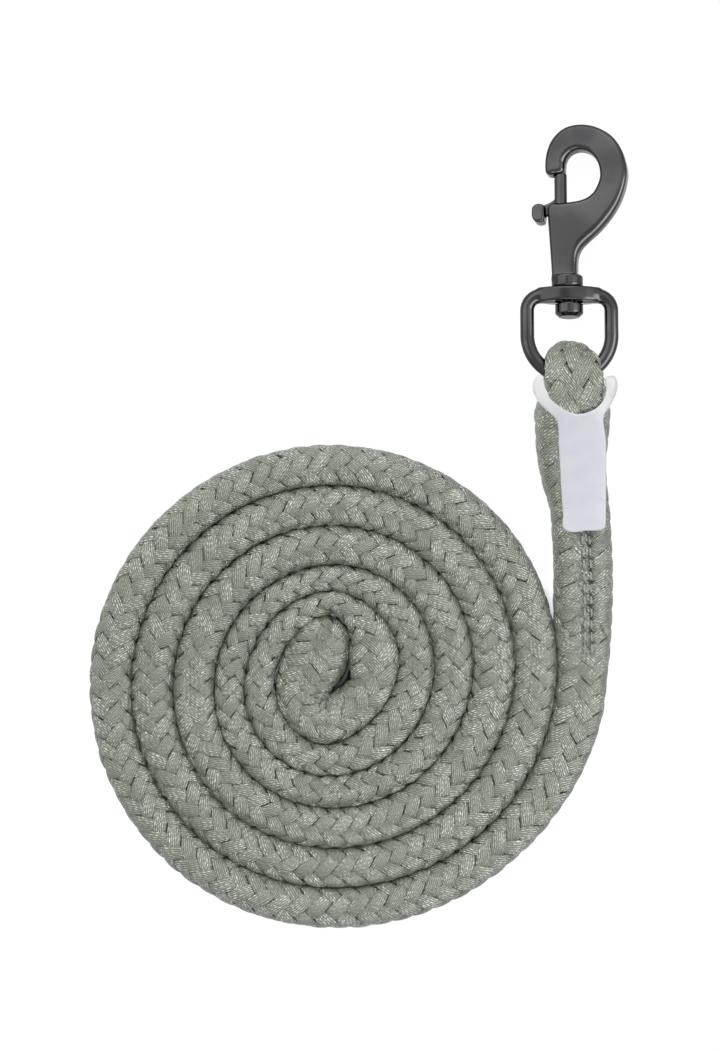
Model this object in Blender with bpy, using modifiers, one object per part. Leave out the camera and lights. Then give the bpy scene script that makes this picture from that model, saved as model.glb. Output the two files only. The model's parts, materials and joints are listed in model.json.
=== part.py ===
"""Lead rope: braided rope wound flat, sewn eye, soft tag, swivel eye and bolt snap hook."""
import math

import bmesh
import bpy
from mathutils import Matrix, Vector

MM = 0.001

# Clearances
GAP = 0.3 * MM
SLIDE_GAP = 0.3 * MM
COIL_GAP = 0.7 * MM

# Rope coil, seen from above, wound outward from the tip: each turn lies between the last turn's edge and its own
COIL_EDGE = 34.7 * MM
COIL_EDGE_TURN = 2.0
COIL_PITCH_INNER = 10.7 * MM
COIL_PITCH_OUTER = 16.9 * MM
COIL_PITCH_TURN_A = 2.6
COIL_PITCH_TURN_B = 3.4
COIL_SWAY_X_INNER = -1.0 * MM
COIL_SWAY_X_OUTER = -0.2 * MM
COIL_SWAY_Y_INNER = 0.5 * MM
COIL_SWAY_Y_OUTER = 0.85 * MM
COIL_OVAL_INNER = -1.1 * MM
COIL_OVAL_OUTER = 0.8 * MM
COIL_SLANT_INNER = 1.4 * MM
COIL_SLANT_OUTER = 0.7 * MM
COIL_LAST_TURN = 6.75
COIL_STEPS_PER_TURN = 24
COIL_END_GROWTH = 6.0 * MM
COIL_END_TURN_A = 6.6
COIL_END_TURN_B = 6.85
COIL_END_WIDTH = 22.4 * MM
COIL_LEAD_OUT = 20.0 * MM
COIL_HALF_HEIGHT = 10.6 * MM
COIL_INNER_HALF_HEIGHT = 9.4 * MM
COIL_FLAT = 0.8
HAIRPIN_RADIUS = 13.3 * MM
HAIRPIN_OFFSET_X = -0.8 * MM
HAIRPIN_OFFSET_Y = -3.9 * MM
HAIRPIN_WIDTH = 20.4 * MM
HAIRPIN_START = math.radians(160.0)
HAIRPIN_STEPS = 9
HAIRPIN_BLEND_A = 1.75
HAIRPIN_BLEND_B = 2.05
TIP_LEG = 20.6 * MM
TIP_WIDTH = 9.5 * MM

# Doubled neck of the rope
NECK_LENGTH = 76.5 * MM
NECK_WIDTH = 24.2 * MM
NECK_HEIGHT = 21.6 * MM
NECK_SHIFT = -3.1 * MM
THROAT_WIDTH = 30.0 * MM
THROAT_HEIGHT = 28.7 * MM
NECK_STATIONS = 10
SEAM_VALLEY_DEPTH = 1.6 * MM
SEAM_VALLEY_HALF = 2.6 * MM
SEAM_OFFSET = 0.7 * MM
SEAM_START = 0.02
SEAM_END = 0.56
SEAM_ROW_SPACING = 3.1 * MM
THREAD_DIAMETER = 0.9 * MM
THREAD_WAVE = 0.25 * MM
THREAD_STITCHES = 10

# Eye of the rope round the bar of the swivel eye
BAR_Y = 124.7 * MM
BAR_X = 96.9 * MM
BAR_Z = 19.5 * MM
EYE_THICKNESS = 11.9 * MM
EYE_HALF_WIDTH = 12.0 * MM
EYE_APEX_HALF_WIDTH = 10.2 * MM
EYE_SHIFT_X = 1.3 * MM
BIGHT_STEPS = 14
LEG_STEPS = 5

# Swivel eye
RING_WIRE = 5.6 * MM
RING_RADIUS = 17.4 * MM
RING_HEIGHT = 34.0 * MM
RING_CORNER = 6.5 * MM
BOSS_LENGTH = 26.0 * MM
BOSS_DEPTH = 12.4 * MM
BOSS_THICKNESS = 5.8 * MM
PIN_DIAMETER = 5.8 * MM
PIN_HEAD_DIAMETER = 11.6 * MM
PIN_HEAD_HEIGHT = 5.5 * MM
PIN_CHAMFER = 1.4 * MM
PIN_IN_HOOK = 8.4 * MM

# Hook, with its own Y along the swivel axis from the collar's foot to the crown
HOOK_TILT = math.radians(8.0)
HOOK_ROLL = math.radians(12.0)
COLLAR_DIAMETER = 12.8 * MM
COLLAR_HEIGHT = 5.0 * MM
COLLAR_EDGE = 0.8 * MM
NECK_DIAMETER = 10.2 * MM
HOOK_NECK_TOP = 17.0 * MM
BARREL_OFFSET = -2.1 * MM
BARREL_DIAMETER = 9.2 * MM
BARREL_FOOT = 3.5 * MM
SHOULDER = 34.8 * MM
SHOULDER_RIGHT = 6.4 * MM
SHOULDER_FOOT = 20.0 * MM
SHOULDER_DEPTH = 8.6 * MM
HORN_CENTRE_X = 5.0 * MM
HORN_CENTRE_Y = 47.0 * MM
HORN_SPAN_RIGHT = 15.1 * MM
HORN_SPAN_LEFT = 9.3 * MM
HORN_RISE = 16.1 * MM
HORN_ROOT_X = -0.4 * MM
HORN_ROOT_Y = 14.2 * MM
HORN_START = math.radians(-48.0)
HORN_END = math.radians(177.0)
HORN_STEPS = 26
HORN_RADIUS = 5.35 * MM
NOSE_RADIUS = 3.6 * MM
NOSE_GAP = 0.3 * MM

NOSE_TRIM = 0.25 * MM
SHOULDER_LAP = 0.9 * MM
SHOULDER_STEP = 0.2 * MM
ROD_SIDES = 22

# Gate bolt and its spring
BOLT_DIAMETER = 5.0 * MM
BOLT_FOOT = 27.5 * MM
BOLT_TRAVEL = 11.0 * MM
BORE_FOOT = 11.3 * MM
WEB_TOP = 37.3 * MM
WEB_FOOT = 32.0 * MM
WEB_THICKNESS = 2.4 * MM
KNOB_LEFT = -13.7 * MM
KNOB_RIGHT = -8.7 * MM
KNOB_TOP = 35.4 * MM
KNOB_FOOT = 27.7 * MM
KNOB_DEPTH = 8.0 * MM
SPRING_DIAMETER = 4.2 * MM
SPRING_WIRE = 0.5 * MM
SPRING_CURLS = 6
SPRING_POINTS_PER_CURL = 9

# Tag
TAG_THICKNESS = 1.6 * MM
TAG_WIDTH = 18.3 * MM
TAG_LIFT = 0.8 * MM
TAG_TOP = -18.0 * MM
TAG_FOOT = -63.3 * MM
TAG_CENTRE_TOP = 2.2 * MM
TAG_CENTRE_FOOT = 4.4 * MM
TAG_STATIONS = 10
COLLAR_HALF_WIDTH = 16.6 * MM
COLLAR_SIDE_Y = -6.2 * MM
COLLAR_SIDE_Z = 27.4 * MM
COLLAR_BACK_Y = -9.0 * MM
COLLAR_BACK_Z = 18.5 * MM
COLLAR_BAND_SIDE = 8.0 * MM
COLLAR_BAND_BACK = 3.0 * MM
COLLAR_BAND_FRONT = 5.0 * MM
COLLAR_STATIONS = 28


def smooth(low, high, value):
    """Return the smooth step of a value between two limits."""
    share = min(max((value - low) / (high - low), 0.0), 1.0)
    return share * share * (3.0 - 2.0 * share)


def clear_scene():
    """Remove every object of the starting scene."""
    for item in list(bpy.data.objects):
        bpy.data.objects.remove(item, do_unlink=True)


def new_collection(name):
    """Return a new collection linked to the scene."""
    group = bpy.data.collections.new(name)
    bpy.context.scene.collection.children.link(group)
    return group


def new_material(name, colour, roughness, metallic):
    """Return a Principled material."""
    material = bpy.data.materials.new(name)
    material.use_nodes = True
    shader = material.node_tree.nodes["Principled BSDF"]
    shader.inputs["Base Color"].default_value = (*colour, 1.0)
    shader.inputs["Roughness"].default_value = roughness
    shader.inputs["Metallic"].default_value = metallic
    return material


def add_mesh(name, mesh, group, material=None):
    """Link a mesh as a named object."""
    item = bpy.data.objects.new(name, mesh)
    group.objects.link(item)
    if material is not None:
        mesh.materials.clear()
        mesh.materials.append(material)
    return item


def loft_mesh(name, rings, closed=False):
    """Join rings of equal count into one closed skin, capped unless the rings close on themselves."""
    form = bmesh.new()
    loops = [[form.verts.new(point) for point in ring] for ring in rings]
    count = len(loops[0])
    pairs = list(zip(loops[:-1], loops[1:]))
    if closed:
        pairs.append((loops[-1], loops[0]))
    for near, far in pairs:
        for side in range(count):
            after = (side + 1) % count
            form.faces.new((near[side], near[after], far[after], far[side]))
    if not closed:
        form.faces.new(list(reversed(loops[0])))
        form.faces.new(loops[-1])
    bmesh.ops.recalc_face_normals(form, faces=form.faces[:])
    mesh = bpy.data.meshes.new(name)
    form.to_mesh(mesh)
    form.free()
    return mesh


def lathe(name, profile, group, material=None, steps=28):
    """Turn a profile of radius and height pairs about the Y axis, with its seam half a step off the X axis."""
    mesh = bpy.data.meshes.new(name)
    seam = math.pi / steps
    points = [(r * math.cos(seam), height, r * math.sin(seam)) for r, height in reversed(profile)]
    mesh.from_pydata(points, [(k, k + 1) for k in range(len(points) - 1)], [])
    item = add_mesh(name, mesh, group, material)
    turn = item.modifiers.new("turn", "SCREW")
    turn.axis = "Y"
    turn.angle = math.tau
    turn.steps = steps
    turn.render_steps = steps
    turn.use_merge_vertices = True
    turn.merge_threshold = 1e-5
    turn.use_normal_calculate = False
    return item


def block(name, low, high, group, material=None, edge=0.0):
    """Make a box between two corners, with rounded edges when an edge radius is given."""
    form = bmesh.new()
    bmesh.ops.create_cube(form, size=1.0)
    size = [high[k] - low[k] for k in range(3)]
    middle = [(high[k] + low[k]) / 2 for k in range(3)]
    bmesh.ops.scale(form, vec=size, verts=form.verts)
    bmesh.ops.translate(form, vec=middle, verts=form.verts)
    mesh = bpy.data.meshes.new(name)
    form.to_mesh(mesh)
    form.free()
    item = add_mesh(name, mesh, group, material)
    if edge > 0.0:
        soften = item.modifiers.new("edges", "BEVEL")
        soften.width = edge
        soften.segments = 3
    return item


def cutter_rod(name, radius, foot, top, offset_x, group):
    """Make a plain rod along Y for cutting."""
    item = lathe(name, [(0.0, foot), (radius, foot), (radius, top), (0.0, top)], group, steps=ROD_SIDES)
    item.location = (offset_x, 0.0, 0.0)
    return item


def boolean(item, other, operation):
    """Add an exact Boolean with another object."""
    step = item.modifiers.new(other.name, "BOOLEAN")
    step.operation = operation
    step.solver = "EXACT"
    step.object = other


def tube(name, points, diameter, group, sides_resolution, cyclic=False, radii=None):
    """Make a tube along points as a closed mesh."""
    curve = bpy.data.curves.new(name, "CURVE")
    curve.dimensions = "3D"
    curve.bevel_depth = diameter / 2
    curve.bevel_resolution = sides_resolution
    curve.use_fill_caps = not cyclic
    spline = curve.splines.new("POLY")
    spline.points.add(len(points) - 1)
    for k, point in enumerate(points):
        spline.points[k].co = (*point, 1.0)
        spline.points[k].radius = 1.0 if radii is None else radii[k] / (diameter / 2)
    spline.use_cyclic_u = cyclic
    line = bpy.data.objects.new(name + "_line", curve)
    group.objects.link(line)
    bpy.context.view_layer.update()
    graph = bpy.context.evaluated_depsgraph_get()
    mesh = bpy.data.meshes.new_from_object(line.evaluated_get(graph))
    bpy.data.objects.remove(line, do_unlink=True)
    form = bmesh.new()
    form.from_mesh(mesh)
    bmesh.ops.remove_doubles(form, verts=form.verts[:], dist=1e-6)
    bmesh.ops.recalc_face_normals(form, faces=form.faces[:])
    form.to_mesh(mesh)
    form.free()
    return mesh


def coil_pitch(turn):
    """Return the spacing of the turns at a turn count."""
    share = smooth(COIL_PITCH_TURN_A, COIL_PITCH_TURN_B, turn)
    return COIL_PITCH_INNER + (COIL_PITCH_OUTER - COIL_PITCH_INNER) * share


def turn_edge(turn):
    """Return the radius of a turn's outer edge: the summed spacing, a sway, an oval and the release at the end."""
    steps = 64
    span = (turn - COIL_EDGE_TURN) / steps
    total = sum(coil_pitch(COIL_EDGE_TURN + (k + 0.5) * span) for k in range(steps))
    share = (turn - COIL_EDGE_TURN) / (COIL_LAST_TURN - COIL_EDGE_TURN)
    sway_x = COIL_SWAY_X_INNER + (COIL_SWAY_X_OUTER - COIL_SWAY_X_INNER) * share
    sway_y = COIL_SWAY_Y_INNER + (COIL_SWAY_Y_OUTER - COIL_SWAY_Y_INNER) * share
    oval = COIL_OVAL_INNER + (COIL_OVAL_OUTER - COIL_OVAL_INNER) * share
    slant = COIL_SLANT_INNER + (COIL_SLANT_OUTER - COIL_SLANT_INNER) * share
    angle = turn_angle(turn)
    out_of_round = sway_x * math.cos(angle) + sway_y * math.sin(angle)
    out_of_round += oval * math.cos(2 * angle) + slant * math.sin(2 * angle)
    release = COIL_END_GROWTH * smooth(COIL_END_TURN_A, COIL_END_TURN_B, turn)
    return COIL_EDGE + total * span + out_of_round + release


def coil_radius(turn):
    """Return the radius of the rope's centre line, midway between the edges on its two sides."""
    return (turn_edge(turn - 1.0) + turn_edge(turn)) / 2


def turn_angle(turn):
    """Return the polar angle of a turn count, whole turns at the top."""
    return math.pi / 2 + math.tau * turn


def coil_width(turn):
    """Return the width of the rope at a turn count."""
    laid = turn_edge(turn) - turn_edge(turn - 1.0) - COIL_GAP
    fold = smooth(HAIRPIN_BLEND_A, HAIRPIN_BLEND_B, turn)
    return HAIRPIN_WIDTH + (laid - HAIRPIN_WIDTH) * fold


def coil_stations():
    """Return centre line points with width and half height, from the tip outward."""
    centre = Vector((HAIRPIN_OFFSET_X, HAIRPIN_OFFSET_Y, 0.0))
    stations = []
    start = centre + HAIRPIN_RADIUS * Vector((math.cos(HAIRPIN_START), math.sin(HAIRPIN_START), 0.0))
    along = Vector((math.sin(HAIRPIN_START), -math.cos(HAIRPIN_START), 0.0))
    for share in (1.0, 0.72, 0.4):
        width = TIP_WIDTH + (HAIRPIN_WIDTH - TIP_WIDTH) * smooth(0.0, 0.6, 1.0 - share)
        stations.append((start + along * TIP_LEG * share, width, COIL_INNER_HALF_HEIGHT))
    fold_end = turn_angle(HAIRPIN_BLEND_A) - math.tau
    for k in range(HAIRPIN_STEPS):
        angle = HAIRPIN_START + (fold_end - HAIRPIN_START) * k / HAIRPIN_STEPS
        point = centre + HAIRPIN_RADIUS * Vector((math.cos(angle), math.sin(angle), 0.0))
        stations.append((point, HAIRPIN_WIDTH, COIL_INNER_HALF_HEIGHT))
    count = round((COIL_LAST_TURN - HAIRPIN_BLEND_A) * COIL_STEPS_PER_TURN)
    for k in range(count + 1):
        turn = HAIRPIN_BLEND_A + (COIL_LAST_TURN - HAIRPIN_BLEND_A) * k / count
        angle = turn_angle(turn)
        ray = Vector((math.cos(angle), math.sin(angle), 0.0))
        share = smooth(HAIRPIN_BLEND_A, HAIRPIN_BLEND_B, turn)
        point = (centre + HAIRPIN_RADIUS * ray) * (1.0 - share) + coil_radius(turn) * ray * share
        grow = smooth(COIL_PITCH_TURN_A, COIL_PITCH_TURN_B, turn)
        half = COIL_INNER_HALF_HEIGHT + (COIL_HALF_HEIGHT - COIL_INNER_HALF_HEIGHT) * grow
        stations.append((point, coil_width(turn), half))
    last = stations[-1][0]
    for share in (0.5, 1.0):
        point = last + Vector((0.0, COIL_LEAD_OUT * share, 0.0))
        stations.append((point, COIL_END_WIDTH, COIL_HALF_HEIGHT))
    return stations


def coil_rings(stations):
    """Return six sided rings, flat below, square to the centre line."""
    section = ((1.0, 0.0), (0.5, 0.95), (-0.5, 0.95), (-1.0, 0.0), (-0.55, -COIL_FLAT), (0.55, -COIL_FLAT))
    rings = []
    count = len(stations)
    for k, (point, width, half) in enumerate(stations):
        before = stations[max(k - 1, 0)][0]
        after = stations[min(k + 1, count - 1)][0]
        if k == count - 1:
            before = point - Vector((0.0, 1.0, 0.0))
            after = point
        along = (after - before).normalized()
        across = Vector((along.y, -along.x, 0.0))
        lift = Vector((0.0, 0.0, half * COIL_FLAT))
        up = Vector((0.0, 0.0, half))
        rings.append([point + lift + across * width / 2 * u + up * v for u, v in section])
    return rings


def coil_least_gap(rings):
    """Return the least distance between skins of neighbouring turns, measured on their points."""
    marks = []
    for k, ring in enumerate(rings):
        for a, b in zip(ring, ring[1:] + ring[:1]):
            marks.append((k, a))
            marks.append((k, (a + b) / 2))
    edges = []
    for k in range(len(rings) - 1):
        for a, b in zip(rings[k], rings[k + 1]):
            edges.append((k, a, b))
    least = 1.0
    apart = COIL_STEPS_PER_TURN // 3
    for k, point in marks:
        for other, a, b in edges:
            if abs(other - k) < apart:
                continue
            if abs(a.x - point.x) > 0.02 or abs(a.y - point.y) > 0.02:
                continue
            run = b - a
            share = min(max((point - a).dot(run) / run.length_squared, 0.0), 1.0)
            least = min(least, (point - a - run * share).length)
    return least


def neck_shape(share):
    """Return centre X shift, width and height of the neck, from the coil to the throat."""
    swell = smooth(0.55, 1.0, share)
    shift = NECK_SHIFT * smooth(0.2, 1.0, share)
    width = NECK_WIDTH + (THROAT_WIDTH - NECK_WIDTH) * swell
    height = NECK_HEIGHT + (THROAT_HEIGHT - NECK_HEIGHT) * smooth(0.35, 1.0, share)
    return shift, width, height


def valley_depth(share):
    """Return the depth of the sewn valley along the neck."""
    return SEAM_VALLEY_DEPTH * smooth(-0.02, 0.08, share) * (1.0 - smooth(0.56, 0.75, share))


def neck_rings(start_x, start_y):
    """Return rings of the neck, with the valley of the seam on top and a flat foot."""
    rings = []
    for k in range(NECK_STATIONS + 1):
        share = k / NECK_STATIONS
        shift, width, height = neck_shape(share)
        half = width / 2
        depth = valley_depth(share)
        y = start_y + NECK_LENGTH * share
        left = SEAM_OFFSET - SEAM_VALLEY_HALF
        right = SEAM_OFFSET + SEAM_VALLEY_HALF
        outline = (
            (-half, 0.44 * height), (-0.86 * half, 0.14 * height), (-0.6 * half, 0.0), (0.6 * half, 0.0),
            (0.86 * half, 0.14 * height), (half, 0.44 * height), (0.84 * half, 0.8 * height),
            (0.52 * half, height), (right, height - depth), (left, height - depth),
            (-0.52 * half, height), (-0.84 * half, 0.8 * height),
        )
        rings.append([Vector((start_x + shift + x, y, z)) for x, z in outline])
    return rings


def thread_points(start_x, start_y, offset):
    """Return the wavy line of one row of stitches in the valley."""
    points = []
    count = THREAD_STITCHES * 4
    for k in range(count + 1):
        share = SEAM_START + (SEAM_END - SEAM_START) * k / count
        low = math.floor(share * NECK_STATIONS)
        part = share * NECK_STATIONS - low
        ends = []
        for station in (low, low + 1):
            shift, _, height = neck_shape(station / NECK_STATIONS)
            ends.append((shift, height - valley_depth(station / NECK_STATIONS)))
        shift = ends[0][0] + (ends[1][0] - ends[0][0]) * part
        floor = ends[0][1] + (ends[1][1] - ends[0][1]) * part
        wave = THREAD_WAVE * (1.0 - math.cos(math.tau * k / 4)) / 2
        x = start_x + shift + SEAM_OFFSET + offset
        y = start_y + NECK_LENGTH * share
        points.append(Vector((x, y, floor + GAP + THREAD_DIAMETER / 2 + wave)))
    return points


def ring_inside(x):
    """Return how far the inner edge of the swivel eye stands from the bar's axis at a place along it."""
    inner = RING_RADIUS - RING_WIRE / 2
    return RING_RADIUS - math.sqrt(max(inner * inner - x * x, 0.0))


def eye_section(half, bend, thickness):
    """Return points across the bight as distances along the bar and away from it."""
    shares = (-1.0, -0.8, -0.5, -0.18, 0.18, 0.5, 0.8, 1.0)
    inner = []
    outer = []
    near = RING_WIRE / 2 + GAP
    rim = ring_inside(half + EYE_SHIFT_X) + GAP + 0.6 * MM
    flat_rim = near + thickness / 2
    edge = flat_rim + (rim - flat_rim) * bend
    for share in shares:
        x = share * half
        dome = math.sqrt(max(1.0 - share * share, 0.0))
        far = edge + (near + thickness - edge) * dome
        plain = flat_rim - thickness / 2 * dome
        saddle = ring_inside(x + EYE_SHIFT_X) if x > 0 else ring_inside(x - EYE_SHIFT_X)
        close = plain + (max(saddle + GAP, near) - plain) * bend
        outer.append((x, far))
        inner.append((x, min(close, far - 0.4 * MM)))
    return outer + inner[::-1]


def eye_rings():
    """Return rings of the eye from the lower leg's end round the bar to the upper leg's end."""
    rings = []
    reach = BAR_Y - GAP - throat_y()
    middle_x = BAR_X + EYE_SHIFT_X
    for k in range(LEG_STEPS):
        share = k / LEG_STEPS
        rings.append(leg_ring(share, reach, middle_x, -1.0))
    for k in range(BIGHT_STEPS + 1):
        angle = -math.pi / 2 + math.pi * k / BIGHT_STEPS
        half = EYE_HALF_WIDTH + (EYE_APEX_HALF_WIDTH - EYE_HALF_WIDTH) * math.cos(angle) ** 2
        rings.append([
            Vector((middle_x + x, BAR_Y + math.cos(angle) * r, BAR_Z + math.sin(angle) * r))
            for x, r in eye_section(half, 1.0, EYE_THICKNESS)
        ])
    for k in range(LEG_STEPS):
        share = (LEG_STEPS - 1 - k) / LEG_STEPS
        rings.append(leg_ring(share, reach, middle_x, 1.0))
    return rings


def leg_ring(share, reach, middle_x, side):
    """Return one ring of a leg, from the throat at share 0 to the bar at share 1."""
    y = BAR_Y - reach * (1.0 - share)
    bend = smooth(0.55, 1.0, share)
    ease = smooth(0.0, 1.0, share)
    throat_thick = THROAT_HEIGHT / 2 - GAP / 2
    thick = throat_thick + (EYE_THICKNESS - throat_thick) * ease
    half = THROAT_WIDTH / 2 + (EYE_HALF_WIDTH - THROAT_WIDTH / 2) * ease
    near = RING_WIRE / 2 + GAP
    if side < 0.0:
        start = BAR_Z - THROAT_HEIGHT / 2 + GAP / 2
    else:
        start = THROAT_HEIGHT / 2 + GAP / 2 - BAR_Z
    base = start + (near - start) * ease
    points = []
    for x, r in eye_section(half, bend, thick):
        points.append(Vector((middle_x + x, y, BAR_Z + side * (base + r - near))))
    return points


def neck_start():
    """Return the place where the neck begins above the coil's last stretch."""
    radius = coil_radius(COIL_LAST_TURN)
    return radius, COIL_LEAD_OUT + GAP


def throat_y():
    """Return the height in the picture plane where the neck ends."""
    return neck_start()[1] + NECK_LENGTH


def eye_top(y):
    """Return the height of the eye's and the neck's upper face at a place along the rope."""
    if y <= throat_y():
        share = (y - neck_start()[1]) / NECK_LENGTH
        return neck_shape(share)[2]
    share = (y - throat_y() - GAP) / (BAR_Y - throat_y() - GAP)
    ease = smooth(0.0, 1.0, share)
    top = BAR_Z + RING_WIRE / 2 + GAP + EYE_THICKNESS
    return THROAT_HEIGHT + (top - THROAT_HEIGHT) * ease


def tongue_rings():
    """Return rings of the tag's tongue lying on the neck."""
    rings = []
    for k in range(TAG_STATIONS + 1):
        share = k / TAG_STATIONS
        y = BAR_Y + TAG_TOP + (TAG_FOOT - TAG_TOP) * share
        x = BAR_X + TAG_CENTRE_TOP + (TAG_CENTRE_FOOT - TAG_CENTRE_TOP) * share
        z = eye_top(y) + TAG_LIFT
        half = TAG_WIDTH / 2
        rings.append([
            Vector((x - half, y, z)), Vector((x + half, y, z)),
            Vector((x + half, y, z + TAG_THICKNESS)), Vector((x - half, y, z + TAG_THICKNESS)),
        ])
    return rings


def collar_rings():
    """Return rings of the tag's collar, a band that leans back round the eye's upper leg."""
    front_y = TAG_TOP + 1.0 * MM
    front_z = eye_top(BAR_Y + front_y) + TAG_LIFT + TAG_THICKNESS / 2
    middle_x = BAR_X + EYE_SHIFT_X
    centres = []
    for k in range(COLLAR_STATIONS):
        angle = math.tau * k / COLLAR_STATIONS
        s = math.sin(angle)
        c = math.cos(angle)
        square = 1.0 / (abs(c) ** 2.6 + abs(s) ** 2.6) ** (1 / 2.6)
        s = s * square
        c = c * square
        if s > 0.0:
            y = COLLAR_SIDE_Y + (front_y - COLLAR_SIDE_Y) * s ** 1.5
            z = COLLAR_SIDE_Z + (front_z - COLLAR_SIDE_Z) * s
            band = COLLAR_BAND_SIDE + (COLLAR_BAND_FRONT - COLLAR_BAND_SIDE) * s
        else:
            y = COLLAR_SIDE_Y + (COLLAR_BACK_Y - COLLAR_SIDE_Y) * -s
            z = COLLAR_SIDE_Z + (COLLAR_BACK_Z - COLLAR_SIDE_Z) * -s
            band = COLLAR_BAND_SIDE + (COLLAR_BAND_BACK - COLLAR_BAND_SIDE) * -s
        lean = math.radians(22.0 - 12.0 * s)
        along = Vector((0.0, math.cos(lean), math.sin(lean)))
        centres.append((Vector((middle_x + COLLAR_HALF_WIDTH * c, BAR_Y + y, z)), along, band))
    rings = []
    for k, (point, along, band) in enumerate(centres):
        ahead = centres[(k + 1) % COLLAR_STATIONS][0]
        behind = centres[k - 1][0]
        way = (ahead - behind).normalized()
        out = way.cross(along).normalized()
        span = out.cross(way).normalized()
        a = span * band / 2
        b = out * TAG_THICKNESS / 2
        rings.append([point - a - b, point + a - b, point + a + b, point - a + b])
    return rings


def ring_points():
    """Return the centre line of the swivel eye in its own frame, the bar's middle at the origin."""
    points = []
    for k in range(25):
        angle = math.pi + math.pi * k / 24
        points.append((RING_RADIUS * math.cos(angle), RING_RADIUS + RING_RADIUS * math.sin(angle), 0.0))
    for middle_x, start in ((RING_RADIUS - RING_CORNER, 0.0), (RING_CORNER - RING_RADIUS, math.pi / 2)):
        for k in range(8):
            angle = start + math.pi / 2 * k / 7
            x = middle_x + RING_CORNER * math.cos(angle)
            points.append((x, RING_HEIGHT - RING_CORNER + RING_CORNER * math.sin(angle), 0.0))
    return points


def horn_points():
    """Return the centre line and radii of the horn from the barrel round the crown to the nose."""
    points = []
    radii = []
    first_x = HORN_CENTRE_X + HORN_SPAN_RIGHT * math.cos(HORN_START)
    first_y = HORN_CENTRE_Y + HORN_RISE * math.sin(HORN_START)
    for share in (0.0, 0.25, 0.5, 0.75):
        x = HORN_ROOT_X + (first_x - HORN_ROOT_X) * share
        points.append((x, HORN_ROOT_Y + (first_y - HORN_ROOT_Y) * share, 0.0))
        radii.append(NECK_DIAMETER / 2 - 0.6 * MM + (HORN_RADIUS - NECK_DIAMETER / 2 + 0.6 * MM) * share)
    for k in range(HORN_STEPS + 1):
        angle = HORN_START + (HORN_END - HORN_START) * k / HORN_STEPS
        span = HORN_SPAN_RIGHT if math.cos(angle) > 0.0 else HORN_SPAN_LEFT
        x = HORN_CENTRE_X + span * math.cos(angle)
        points.append((x, HORN_CENTRE_Y + HORN_RISE * math.sin(angle), 0.0))
        radii.append(HORN_RADIUS + (NOSE_RADIUS - HORN_RADIUS) * smooth(1.6, 2.9, angle))
    radii[-1] = NOSE_RADIUS - 0.5 * MM
    return points, radii


def spring_points():
    """Return the line of the spring between the bore's foot and the bolt."""
    foot = BORE_FOOT + SPRING_WIRE / 2 + GAP
    top = BOLT_FOOT - SPRING_WIRE / 2 - GAP
    radius = (SPRING_DIAMETER - SPRING_WIRE) / 2
    count = SPRING_CURLS * SPRING_POINTS_PER_CURL
    points = []
    for k in range(count + 1):
        angle = math.tau * k / SPRING_POINTS_PER_CURL
        x = BARREL_OFFSET + radius * math.cos(angle)
        points.append((x, foot + (top - foot) * k / count, radius * math.sin(angle)))
    return points


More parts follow.
